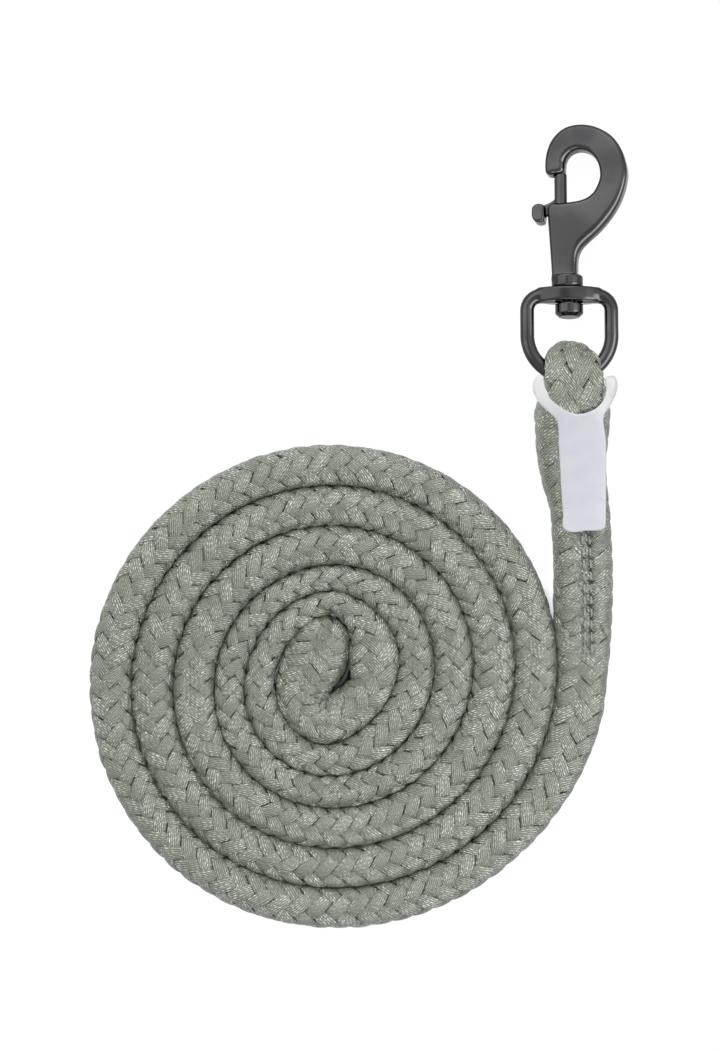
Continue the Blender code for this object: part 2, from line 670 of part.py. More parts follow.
def main():
    """Build every piece and stand the part on the floor about its own middle."""
    clear_scene()
    parts = new_collection("lead_rope")
    cutters = new_collection("cutters")
    cutters.hide_render = True
    braid = new_material("braided_rope", (0.33, 0.36, 0.31), 0.8, 0.0)
    sewing = new_material("sewing_thread", (0.28, 0.31, 0.27), 0.7, 0.0)
    plastic = new_material("soft_tag", (0.85, 0.85, 0.9), 0.45, 0.0)
    metal = new_material("dark_cast_metal", (0.1, 0.1, 0.11), 0.3, 1.0)
    steel = new_material("spring_steel", (0.4, 0.4, 0.42), 0.3, 1.0)

    rings = coil_rings(coil_stations())
    print("least gap of the coil to itself, mm: %.2f" % (coil_least_gap(rings) / MM))
    coil = add_mesh("rope_coil", loft_mesh("rope_coil", rings), parts, braid)

    start_x, start_y = neck_start()
    neck = add_mesh("rope_neck", loft_mesh("rope_neck", neck_rings(start_x, start_y)), parts, braid)
    eye = add_mesh("rope_eye", loft_mesh("rope_eye", eye_rings()), parts, braid)
    still = [coil, neck, eye]
    for side, name in ((-1.0, "seam_thread_left"), (1.0, "seam_thread_right")):
        line = thread_points(start_x, start_y, side * SEAM_ROW_SPACING / 2)
        mesh = tube(name, line, THREAD_DIAMETER, parts, 1)
        still.append(add_mesh(name, mesh, parts, sewing))

    tag = add_mesh("label_tag", loft_mesh("label_tag", tongue_rings()), parts, plastic)
    band = add_mesh("tag_collar", loft_mesh("tag_collar", collar_rings(), closed=True), cutters)
    boolean(tag, band, "UNION")
    still.append(tag)

    eye_place = Matrix.Translation((BAR_X, BAR_Y, BAR_Z)) @ Matrix.Rotation(-HOOK_TILT, 4, "X")
    foot = RING_HEIGHT + BOSS_THICKNESS / 2 + GAP
    hook_place = eye_place @ Matrix.Translation((0.0, foot, 0.0)) @ Matrix.Rotation(-HOOK_ROLL, 4, "Y")
    moving = []
    used = []

    ring = add_mesh("swivel_eye", tube("swivel_eye", ring_points(), RING_WIRE, parts, 3, cyclic=True), parts, metal)
    boss_half = BOSS_THICKNESS / 2
    edge = 0.6 * MM
    half = BOSS_LENGTH / 2
    profile = [
        (0.0, RING_HEIGHT - boss_half), (half - edge, RING_HEIGHT - boss_half), (half, RING_HEIGHT - boss_half + edge),
        (half, RING_HEIGHT + boss_half - edge), (half - edge, RING_HEIGHT + boss_half), (0.0, RING_HEIGHT + boss_half),
    ]
    boss = lathe("boss", profile, cutters, steps=36)
    boss.scale = (1.0, 1.0, BOSS_DEPTH / BOSS_LENGTH)
    hole_radius = PIN_DIAMETER / 2 + SLIDE_GAP
    hole = cutter_rod("pin_hole", hole_radius, RING_HEIGHT - BOSS_THICKNESS, RING_HEIGHT + BOSS_THICKNESS, 0.0, cutters)
    boolean(ring, boss, "UNION")
    boolean(ring, hole, "DIFFERENCE")
    moving.append((ring, eye_place))
    used.append((boss, eye_place, (1.0, 1.0, BOSS_DEPTH / BOSS_LENGTH)))
    used.append((hole, eye_place, None))

    head_top = -GAP - BOSS_THICKNESS - GAP
    head_foot = head_top - PIN_HEAD_HEIGHT
    pin = lathe("swivel_pin", [
        (0.0, head_foot), (PIN_HEAD_DIAMETER / 2 - PIN_CHAMFER, head_foot),
        (PIN_HEAD_DIAMETER / 2, head_foot + PIN_CHAMFER), (PIN_HEAD_DIAMETER / 2, head_top),
        (PIN_DIAMETER / 2, head_top), (PIN_DIAMETER / 2, PIN_IN_HOOK), (0.0, PIN_IN_HOOK),
    ], parts, metal)
    moving.append((pin, hook_place))

    points, radii = horn_points()
    body = add_mesh("hook_body", tube("hook_body", points, HORN_RADIUS * 2, parts, 4, radii=radii), parts, metal)
    stem = lathe("hook_stem", [
        (0.0, 0.0), (COLLAR_DIAMETER / 2 - COLLAR_EDGE, 0.0), (COLLAR_DIAMETER / 2, COLLAR_EDGE),
        (COLLAR_DIAMETER / 2, COLLAR_HEIGHT - COLLAR_EDGE), (COLLAR_DIAMETER / 2 - COLLAR_EDGE, COLLAR_HEIGHT),
        (NECK_DIAMETER / 2, COLLAR_HEIGHT), (NECK_DIAMETER / 2, HOOK_NECK_TOP), (0.0, HOOK_NECK_TOP + 2.0 * MM),
    ], cutters)
    barrel_edge = 0.5 * MM
    barrel = lathe("barrel", [
        (0.0, BARREL_FOOT), (BARREL_DIAMETER / 2, BARREL_FOOT + 1.0 * MM),
        (BARREL_DIAMETER / 2, SHOULDER - barrel_edge), (BARREL_DIAMETER / 2 - barrel_edge, SHOULDER), (0.0, SHOULDER),
    ], cutters)
    shoulder = block(
        "shoulder", (BARREL_OFFSET - SHOULDER_LAP, SHOULDER_FOOT, -SHOULDER_DEPTH / 2),
        (SHOULDER_RIGHT, SHOULDER - SHOULDER_STEP, SHOULDER_DEPTH / 2), cutters, edge=1.6 * MM,
    )
    bore_radius = BOLT_DIAMETER / 2 + SLIDE_GAP
    bore = cutter_rod("bore", bore_radius, BORE_FOOT, SHOULDER + BOLT_DIAMETER, BARREL_OFFSET, cutters)
    slot_foot = WEB_FOOT - BOLT_TRAVEL - 0.6 * MM
    slot_half = WEB_THICKNESS / 2 + SLIDE_GAP
    slot = block(
        "slot", (KNOB_LEFT, slot_foot, -slot_half),
        (BARREL_OFFSET + BOLT_DIAMETER / 4, SHOULDER + WEB_THICKNESS, slot_half), cutters,
    )
    pin_bore = cutter_rod("pin_bore", PIN_DIAMETER / 2 + GAP, -PIN_DIAMETER, PIN_IN_HOOK + GAP, 0.0, cutters)
    trim_top = HORN_CENTRE_Y + HORN_RISE * math.sin(HORN_END)
    nose_trim = block(
        "nose_trim", (HORN_CENTRE_X - HORN_SPAN_LEFT - 2 * NOSE_RADIUS, trim_top - NOSE_RADIUS, -2 * NOSE_RADIUS),
        (HORN_CENTRE_X, trim_top + NOSE_TRIM, 2 * NOSE_RADIUS), cutters,
    )
    moving.append((body, hook_place))
    for item, operation in (
        (stem, "UNION"), (barrel, "UNION"), (shoulder, "UNION"), (bore, "DIFFERENCE"), (slot, "DIFFERENCE"),
        (pin_bore, "DIFFERENCE"), (nose_trim, "DIFFERENCE"),
    ):
        boolean(body, item, operation)
    barrel_shift = Matrix.Translation((BARREL_OFFSET, 0.0, 0.0))
    for item in (stem, shoulder, slot, pin_bore, nose_trim):
        used.append((item, hook_place, None))
    for item in (barrel, bore):
        used.append((item, hook_place @ barrel_shift, None))

    bolt_top = trim_top + NOSE_TRIM - NOSE_GAP
    bolt = lathe("gate_bolt", [
        (0.0, BOLT_FOOT), (BOLT_DIAMETER / 2, BOLT_FOOT), (BOLT_DIAMETER / 2, bolt_top - 0.5 * MM),
        (BOLT_DIAMETER / 2 - 0.5 * MM, bolt_top), (0.0, bolt_top),
    ], parts, metal)
    to_bolt = -BARREL_OFFSET
    web = block(
        "bolt_web", (KNOB_RIGHT + to_bolt - 2.0 * MM, WEB_FOOT, -WEB_THICKNESS / 2),
        (0.0, WEB_TOP, WEB_THICKNESS / 2), cutters,
    )
    knob = block(
        "thumb_knob", (KNOB_LEFT + to_bolt, KNOB_FOOT, -KNOB_DEPTH / 2),
        (KNOB_RIGHT + to_bolt, KNOB_TOP, KNOB_DEPTH / 2), cutters, edge=1.6 * MM,
    )
    boolean(bolt, web, "UNION")
    boolean(bolt, knob, "UNION")
    moving.append((bolt, hook_place @ barrel_shift))
    used.append((web, hook_place @ barrel_shift, None))
    used.append((knob, hook_place @ barrel_shift, None))

    spring = add_mesh("bolt_spring", tube("bolt_spring", spring_points(), SPRING_WIRE, parts, 1), parts, steel)
    moving.append((spring, hook_place))

    for item, place in moving:
        item.matrix_world = place
    for item, place, size in used:
        item.matrix_world = place if size is None else place @ Matrix.Diagonal((*size, 1.0))
    for item in cutters.objects:
        item.hide_render = True
        item.display_type = "WIRE"

    bpy.context.view_layer.update()
    graph = bpy.context.evaluated_depsgraph_get()
    corners = []
    for item in parts.objects:
        posed = item.evaluated_get(graph)
        mesh = posed.to_mesh()
        corners.extend(item.matrix_world @ vertex.co for vertex in mesh.vertices)
        posed.to_mesh_clear()
    low = [min(point[k] for point in corners) for k in range(3)]
    high = [max(point[k] for point in corners) for k in range(3)]
    shift = Matrix.Translation((-(low[0] + high[0]) / 2, -(low[1] + high[1]) / 2, -low[2]))
    for item in list(parts.objects) + list(cutters.objects):
        item.matrix_world = shift @ item.matrix_world
    for label, place in (("bar", eye_place), ("hook foot", hook_place), ("bolt", hook_place @ barrel_shift)):
        spot = (shift @ place).translation
        print("%s at mm: %.2f %.2f %.2f" % (label, spot.x / MM, spot.y / MM, spot.z / MM))
    print("size, mm: %.1f %.1f %.1f" % tuple((high[k] - low[k]) / MM for k in range(3)))
    print("lowest before standing, mm: %.2f" % (low[2] / MM))


main()
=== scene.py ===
"""Looks of a lead rope: braided rope wound flat, sewn eye, soft tag, swivel eye and bolt snap hook.

Arrays are in millimetres about the middle of the coil, +Z up, until a mesh is made of them in the frame's
metres.
"""

import json
import logging
import math
from dataclasses import dataclass, field
from enum import Enum

import bpy
import numpy as np
import openvdb
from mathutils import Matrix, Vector

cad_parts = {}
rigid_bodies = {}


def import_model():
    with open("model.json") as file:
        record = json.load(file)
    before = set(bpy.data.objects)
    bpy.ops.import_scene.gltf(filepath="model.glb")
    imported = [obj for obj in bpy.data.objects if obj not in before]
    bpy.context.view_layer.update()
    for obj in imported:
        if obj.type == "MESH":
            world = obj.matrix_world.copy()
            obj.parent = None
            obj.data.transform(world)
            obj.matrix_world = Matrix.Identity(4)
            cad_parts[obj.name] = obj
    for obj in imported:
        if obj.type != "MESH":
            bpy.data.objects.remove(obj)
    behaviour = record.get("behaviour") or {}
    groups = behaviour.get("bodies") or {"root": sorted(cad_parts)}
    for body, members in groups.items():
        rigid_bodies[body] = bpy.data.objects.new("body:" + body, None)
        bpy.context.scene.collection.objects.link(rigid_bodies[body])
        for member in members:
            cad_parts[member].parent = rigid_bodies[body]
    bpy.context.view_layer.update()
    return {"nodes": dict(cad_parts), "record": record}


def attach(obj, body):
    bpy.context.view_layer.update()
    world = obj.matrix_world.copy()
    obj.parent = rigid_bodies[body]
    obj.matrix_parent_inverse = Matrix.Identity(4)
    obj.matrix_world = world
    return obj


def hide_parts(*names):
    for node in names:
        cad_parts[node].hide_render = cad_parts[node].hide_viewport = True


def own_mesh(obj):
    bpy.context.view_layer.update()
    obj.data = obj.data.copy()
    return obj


Array = np.ndarray
Material = bpy.types.Material
Piece = bpy.types.Object
Socket = bpy.types.NodeSocket
MM = 0.001
TAU = math.tau
FAR = 1e9
TINY = 1e-9
ACROSS = np.array([1.0, 0.0, 0.0])
UP = np.array([0.0, 0.0, 1.0])
STRAND_MAP = "strand"
HOLE_SHARE = "stitch_hole"
NOISE_SPAN = (0.25, 0.75)
PAIRS_AT_ONCE = 4_000_000
LOG = logging.getLogger("lead_rope")


class Slot(Enum):
    """Material slots of the record that the pieces take their finish from."""

    ROPE = "braided_rope"
    THREAD = "sewing_thread"
    TAG = "soft_tag"
    METAL = "dark_metal"
    SPRING = "spring_steel"


class Body(Enum):
    """Bodies of the frame that the pieces ride on."""

    ROPE = "rope"
    EYE = "swivel_eye"
    HOOK = "hook"
    BOLT = "bolt"


def smooth_step(low: float, high: float, value: Array) -> Array:
    """Rise from 0 to 1 between two limits, level at both ends.

    Args:
        low: Value at which the rise starts.
        high: Value at which the rise ends.
        value: Values to map.

    Returns:
        Three times the square less twice the cube of the clipped share.
    """
    share = np.clip((value - low) / (high - low), 0.0, 1.0)
    return share * share * (3.0 - 2.0 * share)


def signed_power(value: Array, power: float | Array) -> Array:
    """Return the power of the size of a value, with the value's sign."""
    return np.sign(value) * np.abs(value) ** power


def unit(vectors: Array) -> Array:
    """Return vectors along the last axis scaled to length one."""
    return vectors / np.maximum(np.linalg.norm(vectors, axis=-1, keepdims=True), 1e-9)


def travelled(points: Array) -> Array:
    """Return the length of the way from the first of a row of points to each of them."""
    return np.concatenate([[0.0], np.cumsum(np.linalg.norm(np.diff(points, axis=0), axis=1))])


def cubic(knots: Array, place: Array, wanted: Array) -> Array:
    """Carry cubics through knots, whose slopes there are the weighted differences to both neighbours.

    Args:
        knots: One row a knot.
        place: Place of each knot along the line.
        wanted: Places at which rows are wanted.

    Returns:
        Rows of the knots' columns at the wanted places.
    """
    slope = np.gradient(knots, place, axis=0)
    cell = np.clip(np.searchsorted(place, wanted, side="right") - 1, 0, len(place) - 2)
    span = (place[cell + 1] - place[cell])[:, None]
    t = (wanted - place[cell])[:, None] / span
    near = (2 * t**3 - 3 * t**2 + 1) * knots[cell] + (t**3 - 2 * t**2 + t) * span * slope[cell]
    far = (3 * t**2 - 2 * t**3) * knots[cell + 1] + (t**3 - t**2) * span * slope[cell + 1]
    return near + far


def spline(knots: Array, step: float, trials: int = 8) -> Array:
    """Carry a smooth curve through rows of knots and cut it into equal steps of length.

    Args:
        knots: One row a knot, with X, Y and Z in the first three columns and other sizes after them.
        step: Wanted length of a step.
        trials: Places worked out in each step before it is cut.

    Returns:
        Rows of the same columns, equally spaced along the line.
    """
    place = travelled(knots[:, :3])
    rows = cubic(knots, place, np.linspace(0.0, place[-1], int(place[-1] / step * trials)))
    run = travelled(rows[:, :3])
    even = np.linspace(0.0, run[-1], int(round(run[-1] / step)) + 1)
    return np.stack([np.interp(even, run, column) for column in rows.T], axis=1)


def closed_curve(knots: Array, step: float = 0.3, lap: int = 3) -> Array:
    """Carry a smooth closed curve through knots.

    Args:
        knots: Points in two columns.
        step: Wanted length of a step.
        lap: Knots repeated at either end, so that the curve closes smoothly.

    Returns:
        Points along the curve, the last one step short of the first.
    """
    many = np.concatenate([knots[-lap:], knots, knots[:lap]])
    place = travelled(many)
    return cubic(many, place, np.arange(place[lap], place[-lap], step))


def tube_faces(tubes: int, rows: int, columns: int) -> list[Array]:
    """Number the faces of closed tubes whose points are ordered by tube, row and column.

    Args:
        tubes: Number of tubes.
        rows: Rings in each tube.
        columns: Points in each ring.

    Returns:
        Side faces of four points, then the two end faces of each tube.
    """
    index = np.arange(tubes * rows * columns).reshape(tubes, rows, columns)
    after = np.roll(index, -1, axis=2)
    sides = np.stack([index[:, :-1], index[:, 1:], after[:, 1:], after[:, :-1]], axis=-1).reshape(-1, 4)
    return [sides, index[:, 0, :], index[:, -1, ::-1]]


def round_tube(line: Array, first: Array, second: Array, radius: float | Array, sides: int) -> Array:
    """Carry a circle along a line: each point plus the radius times a cosine and a sine of two directions.

    Args:
        line: Points of the line.
        first: Direction in which the circles start.
        second: Direction a quarter turn on.
        radius: Radius, the same all along or one for each point.
        sides: Points in a circle.

    Returns:
        Points by place along the line and place round it.
    """
    angle = np.linspace(0.0, TAU, sides, endpoint=False)[None, :, None]
    return line[:, None] + radius * (np.cos(angle) * first + np.sin(angle) * second)


def make_piece(
    name: str, points: Array, faces: list[Array], uv: Array | None = None, holes: Array | None = None
) -> Piece:
    """Make a smooth shaded mesh object.

    Args:
        name: Name of the piece.
        points: Points in the frame's millimetres.
        faces: Blocks of point numbers, each block with faces of equal count.
        uv: Place of each point on its strand, if the finish follows it.
        holes: How far each point lies in the hole of a stitch, from 0 to 1, where the piece is sewn, for the
            finish's painted shade there.

    Returns:
        The linked object, with its place in its mesh.
    """
    mesh = bpy.data.meshes.new(name)
    mesh.vertices.add(len(points))
    mesh.vertices.foreach_set("co", (points * MM).astype(np.float32).ravel())
    corners = np.concatenate([block.ravel() for block in faces]).astype(np.int32)
    totals = np.concatenate([np.full(len(block), block.shape[1]) for block in faces])
    mesh.loops.add(len(corners))
    mesh.loops.foreach_set("vertex_index", corners)
    mesh.polygons.add(len(totals))
    mesh.polygons.foreach_set("loop_start", np.concatenate([[0], np.cumsum(totals)[:-1]]).astype(np.int32))
    mesh.polygons.foreach_set("use_smooth", np.ones(len(totals), dtype=bool))
    if uv is not None:
        layer = mesh.uv_layers.new(name=STRAND_MAP)
        layer.data.foreach_set("uv", uv[corners].astype(np.float32).ravel())
    if holes is not None:
        layer = mesh.attributes.new(HOLE_SHARE, "FLOAT", "POINT")
        layer.data.foreach_set("value", holes.astype(np.float32))
    mesh.update(calc_edges=True)
    mesh.validate()
    item = bpy.data.objects.new(name, mesh)
    bpy.context.scene.collection.objects.link(item)
    return item


def settle(piece: Piece, body: Body, slot: Slot, finish: Material, *nodes: str) -> None:
    """Give a piece its body and finish, hide the nodes that it stands for, and report it."""
    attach(piece, body.value)
    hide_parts(*nodes)
    piece.data.materials.append(finish)
    LOG.info("%s: %d faces", piece.name, len(piece.data.polygons))


class NodeBoard:
    """Node tree of a material or of the world, with short calls to add and link nodes."""

    def __init__(self, owner: Material | bpy.types.World, shader: str = "Principled BSDF") -> None:
        """Take the owner's tree, which starts with an output and the named shader."""
        owner.use_nodes = True
        self.owner = owner
        self.tree = owner.node_tree
        self.shader = self.tree.nodes[shader]

    def add(self, kind: str, settings: dict | None = None, sockets: dict | None = None) -> bpy.types.Node:
        """Add a node.

        Args:
            kind: Node type.
            settings: Attributes of the node.
            sockets: Values or linked output sockets by input name or number.

        Returns:
            The new node.
        """
        node = self.tree.nodes.new(kind)
        for name, value in (settings or {}).items():
            setattr(node, name, value)
        self.feed(node, sockets or {})
        return node

    def feed(self, node: bpy.types.Node, sockets: dict) -> None:
        """Link outputs to inputs of a node, or set the inputs' own values."""
        for name, value in sockets.items():
            if isinstance(value, Socket):
                self.tree.links.new(value, node.inputs[name])
            else:
                node.inputs[name].default_value = value

    def finish(self, sockets: dict) -> bpy.types.ID:
        """Feed the shader and return the owner."""
        self.feed(self.shader, sockets)
        return self.owner

    def place(self) -> Socket:
        """Return the place in the object."""
        return self.add("ShaderNodeTexCoord").outputs["Object"]

    def strand_place(self) -> Socket:
        """Return the place on a strand: millimetres along it in X, and the count of strands in Y."""
        return self.add("ShaderNodeUVMap", {"uv_map": STRAND_MAP}).outputs[0]

    def scaled(self, vector: Socket, scale: tuple) -> Socket:
        """Return a vector times a scale for each of its axes."""
        return self.add("ShaderNodeMapping", None, {"Vector": vector, "Scale": scale}).outputs[0]

    def noise(self, vector: Socket, scale: float, detail: float = 2.0) -> Socket:
        """Return the value of a noise read at a vector."""
        sockets = {"Vector": vector, "Scale": scale, "Detail": detail}
        return self.add("ShaderNodeTexNoise", None, sockets).outputs[0]

    def ramp(self, value: Socket, low: float, high: float) -> Socket:
        """Return a value mapped smoothly from between two limits to between 0 and 1."""
        sockets = {"Value": value, "From Min": low, "From Max": high}
        return self.add("ShaderNodeMapRange", {"interpolation_type": "SMOOTHSTEP"}, sockets).outputs[0]

    def level(self, value: Socket, low: float, high: float, least: float = 0.0, most: float = 1.0) -> Socket:
        """Return a value spread between two levels, from those between which it lies."""
        sockets = {"Value": value, "From Min": least, "From Max": most, "To Min": low, "To Max": high}
        return self.add("ShaderNodeMapRange", None, sockets).outputs[0]

    def math(self, operation: str, first: object, *others: object) -> Socket:
        """Return the result of a sum, product or the like, taken over all values in order."""
        for other in others or (0.0,):
            first = self.add("ShaderNodeMath", {"operation": operation}, {0: first, 1: other}).outputs[0]
        return first

    def mix(self, share: object, first: object, second: object, blend: str = "MIX") -> Socket:
        """Return a mix of two colours."""
        settings = {"data_type": "RGBA", "blend_type": blend}
        return self.add("ShaderNodeMix", settings, {0: share, 6: first, 7: second}).outputs[2]

    def bump(self, height: Socket, strength: float, distance: float) -> Socket:
        """Return a normal that follows a height."""
        sockets = {"Height": height, "Strength": strength, "Distance": distance}
        return self.add("ShaderNodeBump", None, sockets).outputs[0]

    def seen(self) -> Socket:
        """Return 1 for rays from the camera, from gloss or through clear bodies, and 0 for the rest."""
        path = self.add("ShaderNodeLightPath").outputs
        kinds = ("Is Camera Ray", "Is Glossy Ray", "Is Transmission Ray")
        return self.math("MAXIMUM", *(path[kind] for kind in kinds))


def rgb(red: float, green: float, blue: float) -> tuple[float, float, float, float]:
    """Turn screen values from 0 to 255 into a linear colour."""
    levels = np.array([red, green, blue]) / 255.0
    linear = np.where(levels <= 0.04045, levels / 12.92, ((levels + 0.055) / 1.055) ** 2.4)
    return (*(float(level) for level in linear), 1.0)


@dataclass(frozen=True)
class YarnFinish:
    """Satin yarn: plies side by side along each strand, each twisted into short dashes, some with painted
    glints.

    Noises are given by their length along the strand in millimetres, their count across it and their detail.
    Bumps are given by their strength and their height in metres.
    """

    name: str = "satin_yarn"
    dark: tuple = rgb(102, 108, 94)
    pale: tuple = rgb(165, 172, 153)
    # colour of the painted glints: highlights set into the base colour
    painted_glint: tuple = rgb(255, 255, 250)
    plies: float = 7.4
    wander: float = 1.8
    wander_noise: tuple = (8.0, 1.4)
    dash: float = 2.2
    dash_valley: float = 0.42
    dash_slant: float = 0.4
    jitter: float = 1.6
    jitter_length: float = 2.6
    float_noise: tuple = (11.0, 0.8, 0.0)
    float_tones: tuple = (0.84, 1.16)
    patch_scale: float = 55.0
    patch_tones: tuple = (0.9, 1.1)
    lit_limits: tuple = (0.1, 0.9)
    # painted shade towards the strand's edges, where it goes under its neighbours
    edge_limits: tuple = (0.41, 0.5)
    edge_shade: float = 0.42
    # painted shade in the stitches' holes
    hole_shade: float = 0.06
    # where the painted glints show: on lit crests of dashes, on some floats and on some stretches of a ply
    painted_glint_on_lit: tuple = (0.55, 0.92)
    painted_glint_on_float: tuple = (0.42, 0.6)
    painted_glint_on_jitter: tuple = (0.35, 0.6)
    bump: tuple = (0.9, 0.0004)
    roughness: float = 0.38
    specular: float = 1.0
    stretched_gloss: float = 0.8
    gloss_turn: float = 0.25
    sheen: float = 0.1

    def build(self) -> Material:
        """Build the material on the strand map, whose X is millimetres along and whose Y counts strands.

        The height of a ply is the sine of half a turn across it. Its dashes are a sine along it, shifted by
        chance from ply to ply and slanted as a twist is. The colour is paler on the crests of plies and
        dashes, as painted light. A painted glint, a highlight set in the base colour, shows on the crest of a
        dash where a slow noise is high. Shade is painted too: the strand is darker towards both of its edges,
        where it goes under its neighbours, and darkest in the stitches' holes.
        """
        board = NodeBoard(bpy.data.materials.new(self.name))
        place = board.strand_place()
        along, strand, _ = board.add("ShaderNodeSeparateXYZ", None, {0: place}).outputs
        sway = board.math("MULTIPLY", self.drawn_out(board, place, *self.wander_noise), self.wander)
        ply = board.math("ADD", board.math("MULTIPLY", strand, self.plies), sway)
        share = board.math("FRACT", ply)
        crest = board.math("SINE", board.math("MULTIPLY", share, math.pi))
        number = {"W": board.math("FLOOR", ply)}
        lot = board.add("ShaderNodeTexWhiteNoise", {"noise_dimensions": "1D"}, number).outputs[0]
        jitter = self.drawn_out(board, place, self.jitter_length, self.plies)
        turn = board.math(
            "ADD", board.math("DIVIDE", along, self.dash), lot,
            board.math("MULTIPLY", share, self.dash_slant), board.math("MULTIPLY", jitter, self.jitter),
        )
        dash = board.level(board.math("SINE", board.math("MULTIPLY", turn, TAU)), 0.0, 1.0, -1.0, 1.0)
        lit = board.math("MULTIPLY", crest, board.level(dash, self.dash_valley, 1.0))
        float_tone = self.drawn_out(board, place, *self.float_noise)
        patch = board.noise(board.place(), self.patch_scale)
        # painted shade: darker towards both edges of a strand, where it goes under its neighbours
        beside = board.math("ABSOLUTE", board.math("SUBTRACT", board.math("FRACT", strand), 0.5))
        # painted shade: the stitches' holes darken the colour
        sewn = board.add("ShaderNodeAttribute", {"attribute_name": HOLE_SHARE}).outputs["Fac"]
        tone = board.math(
            "MULTIPLY", board.level(patch, *self.patch_tones, *NOISE_SPAN),
            board.level(float_tone, *self.float_tones, *NOISE_SPAN),
            board.level(board.ramp(beside, *self.edge_limits), 1.0, self.edge_shade),
            board.level(sewn, 1.0, self.hole_shade),
        )
        shade = board.add("ShaderNodeCombineColor", None, {0: tone, 1: tone, 2: tone}).outputs[0]
        # ply texture with painted light: paler on the crests of plies and dashes, darker in their valleys as
        # painted shade
        colour = board.mix(board.ramp(lit, *self.lit_limits), self.dark, self.pale)
        colour = board.mix(1.0, colour, shade, "MULTIPLY")
        # painted glints: highlights mixed into the base colour on the lit dash crests of some floats
        bright = board.math(
            "MULTIPLY", board.ramp(lit, *self.painted_glint_on_lit), board.ramp(float_tone, *self.painted_glint_on_float),
            board.ramp(jitter, *self.painted_glint_on_jitter),
        )
        on_strand = {"direction_type": "UV_MAP", "uv_map": STRAND_MAP}
        tangent = board.add("ShaderNodeTangent", on_strand).outputs[0]
        return board.finish({
            "Base Color": board.mix(bright, colour, self.painted_glint), "Normal": board.bump(lit, *self.bump),
            "Tangent": tangent, "Roughness": self.roughness, "Specular IOR Level": self.specular,
            "Anisotropic": self.stretched_gloss, "Anisotropic Rotation": self.gloss_turn,
            "Sheen Weight": self.sheen,
        })

    def drawn_out(
        self, board: NodeBoard, place: Socket, length: float, across: float, detail: float = 1.0
    ) -> Socket:
        """Return a noise of a given length along the strand and a given count across it."""
        return board.noise(board.scaled(place, (1.0 / length, across, 1.0)), 1.0, detail)


@dataclass(frozen=True)
class ThreadFinish:
    """Sewing thread of two plies, a little paler than the rope."""

    name: str = "two_ply_thread"
    dark: tuple = rgb(132, 136, 124)
    pale: tuple = rgb(214, 217, 206)
    plies: tuple = (0.55, 2.0, 1.0)
    bump: tuple = (0.6, 0.0003)
    roughness: float = 0.6

    def build(self) -> Material:
        """Build the material on the thread's map: slanting bands whose sum of both places sets the shade."""
        board = NodeBoard(bpy.data.materials.new(self.name))
        slanted = {"Vector": board.scaled(board.strand_place(), self.plies), "Scale": 1.0}
        wave = board.add("ShaderNodeTexWave", {"bands_direction": "DIAGONAL"}, slanted).outputs["Fac"]
        return board.finish({
            "Base Color": board.mix(wave, self.dark, self.pale), "Normal": board.bump(wave, *self.bump),
            "Roughness": self.roughness,
        })


@dataclass(frozen=True)
class MetalFinish:
    """Smooth metal with a faint cloudiness in its tone and its gloss."""

    name: str
    deep: tuple
    bright: tuple
    tone_scale: float = 55.0
    tone_limits: tuple = (0.35, 0.65)
    rim_tint: tuple = (0.8, 0.8, 0.8, 1.0)
    gloss_noise: tuple = (260.0, 4.0)
    roughness: tuple = (0.12, 0.18)

    def build(self) -> Material:
        """Build the material on object coordinates."""
        board = NodeBoard(bpy.data.materials.new(self.name))
        place = board.place()
        tone = board.ramp(board.noise(place, self.tone_scale), *self.tone_limits)
        return board.finish({
            "Base Color": board.mix(tone, self.deep, self.bright), "Metallic": 1.0,
            "Specular Tint": self.rim_tint,
            "Roughness": board.level(board.noise(place, *self.gloss_noise), *self.roughness),
        })


@dataclass(frozen=True)
class TagFinish:
    """Soft cloudy plastic, with painted light: cool where the rope lies behind it, and whiter at the free
    horns, where the floor's light shines through.
    """

    name: str = "soft_white_plastic"
    cool: tuple = rgb(232, 236, 246)
    white: tuple = rgb(250, 250, 250)
    # span along Y over which painted through-light whitens the horns
    horns_lit_through: tuple = (0.040, 0.062)
    cloud_noise: tuple = (140.0, 3.0)
    cloud_limits: tuple = (0.3, 0.75)
    cloud_share: float = 0.4
    bump: tuple = (0.3, 0.0003)
    roughness: float = 0.4
    depth_share: float = 0.15
    depth: tuple = (0.002, 0.002, 0.002)

    def build(self) -> Material:
        """Build the material on object coordinates."""
        board = NodeBoard(bpy.data.materials.new(self.name))
        place = board.place()
        cloud = board.noise(place, *self.cloud_noise)
        along = board.add("ShaderNodeSeparateXYZ", None, {0: place}).outputs[1]
        cloudy = board.math("MULTIPLY", board.ramp(cloud, *self.cloud_limits), self.cloud_share)
        # painted light: whiter towards the free horns, as if the floor's light shone through the thin sheet
        share = board.math("ADD", cloudy, board.ramp(along, *self.horns_lit_through))
        return board.finish({
            "Base Color": board.mix(share, self.cool, self.white), "Normal": board.bump(cloud, *self.bump),
            "Roughness": self.roughness, "Subsurface Weight": self.depth_share,
            "Subsurface Radius": self.depth,
        })


@dataclass(frozen=True)
class Lamp:
    """Soft box that faces the middle of the object: its place, its width and height, and its power."""

    name: str
    place: tuple
    size: tuple
    power: float
    lights_matt: bool = True

    def hang(self) -> None:
        """Make the lamp. One that doesn't light matt pieces shows in gloss alone."""
        light = bpy.data.lights.new(self.name, "AREA")
        light.shape = "RECTANGLE"
        light.size, light.size_y = self.size
        light.energy = self.power
        item = bpy.data.objects.new(self.name, light)
        item.location = self.place
        item.rotation_euler = Vector(self.place).to_track_quat("Z", "Y").to_euler()
        item.visible_diffuse = self.lights_matt
        bpy.context.scene.collection.objects.link(item)


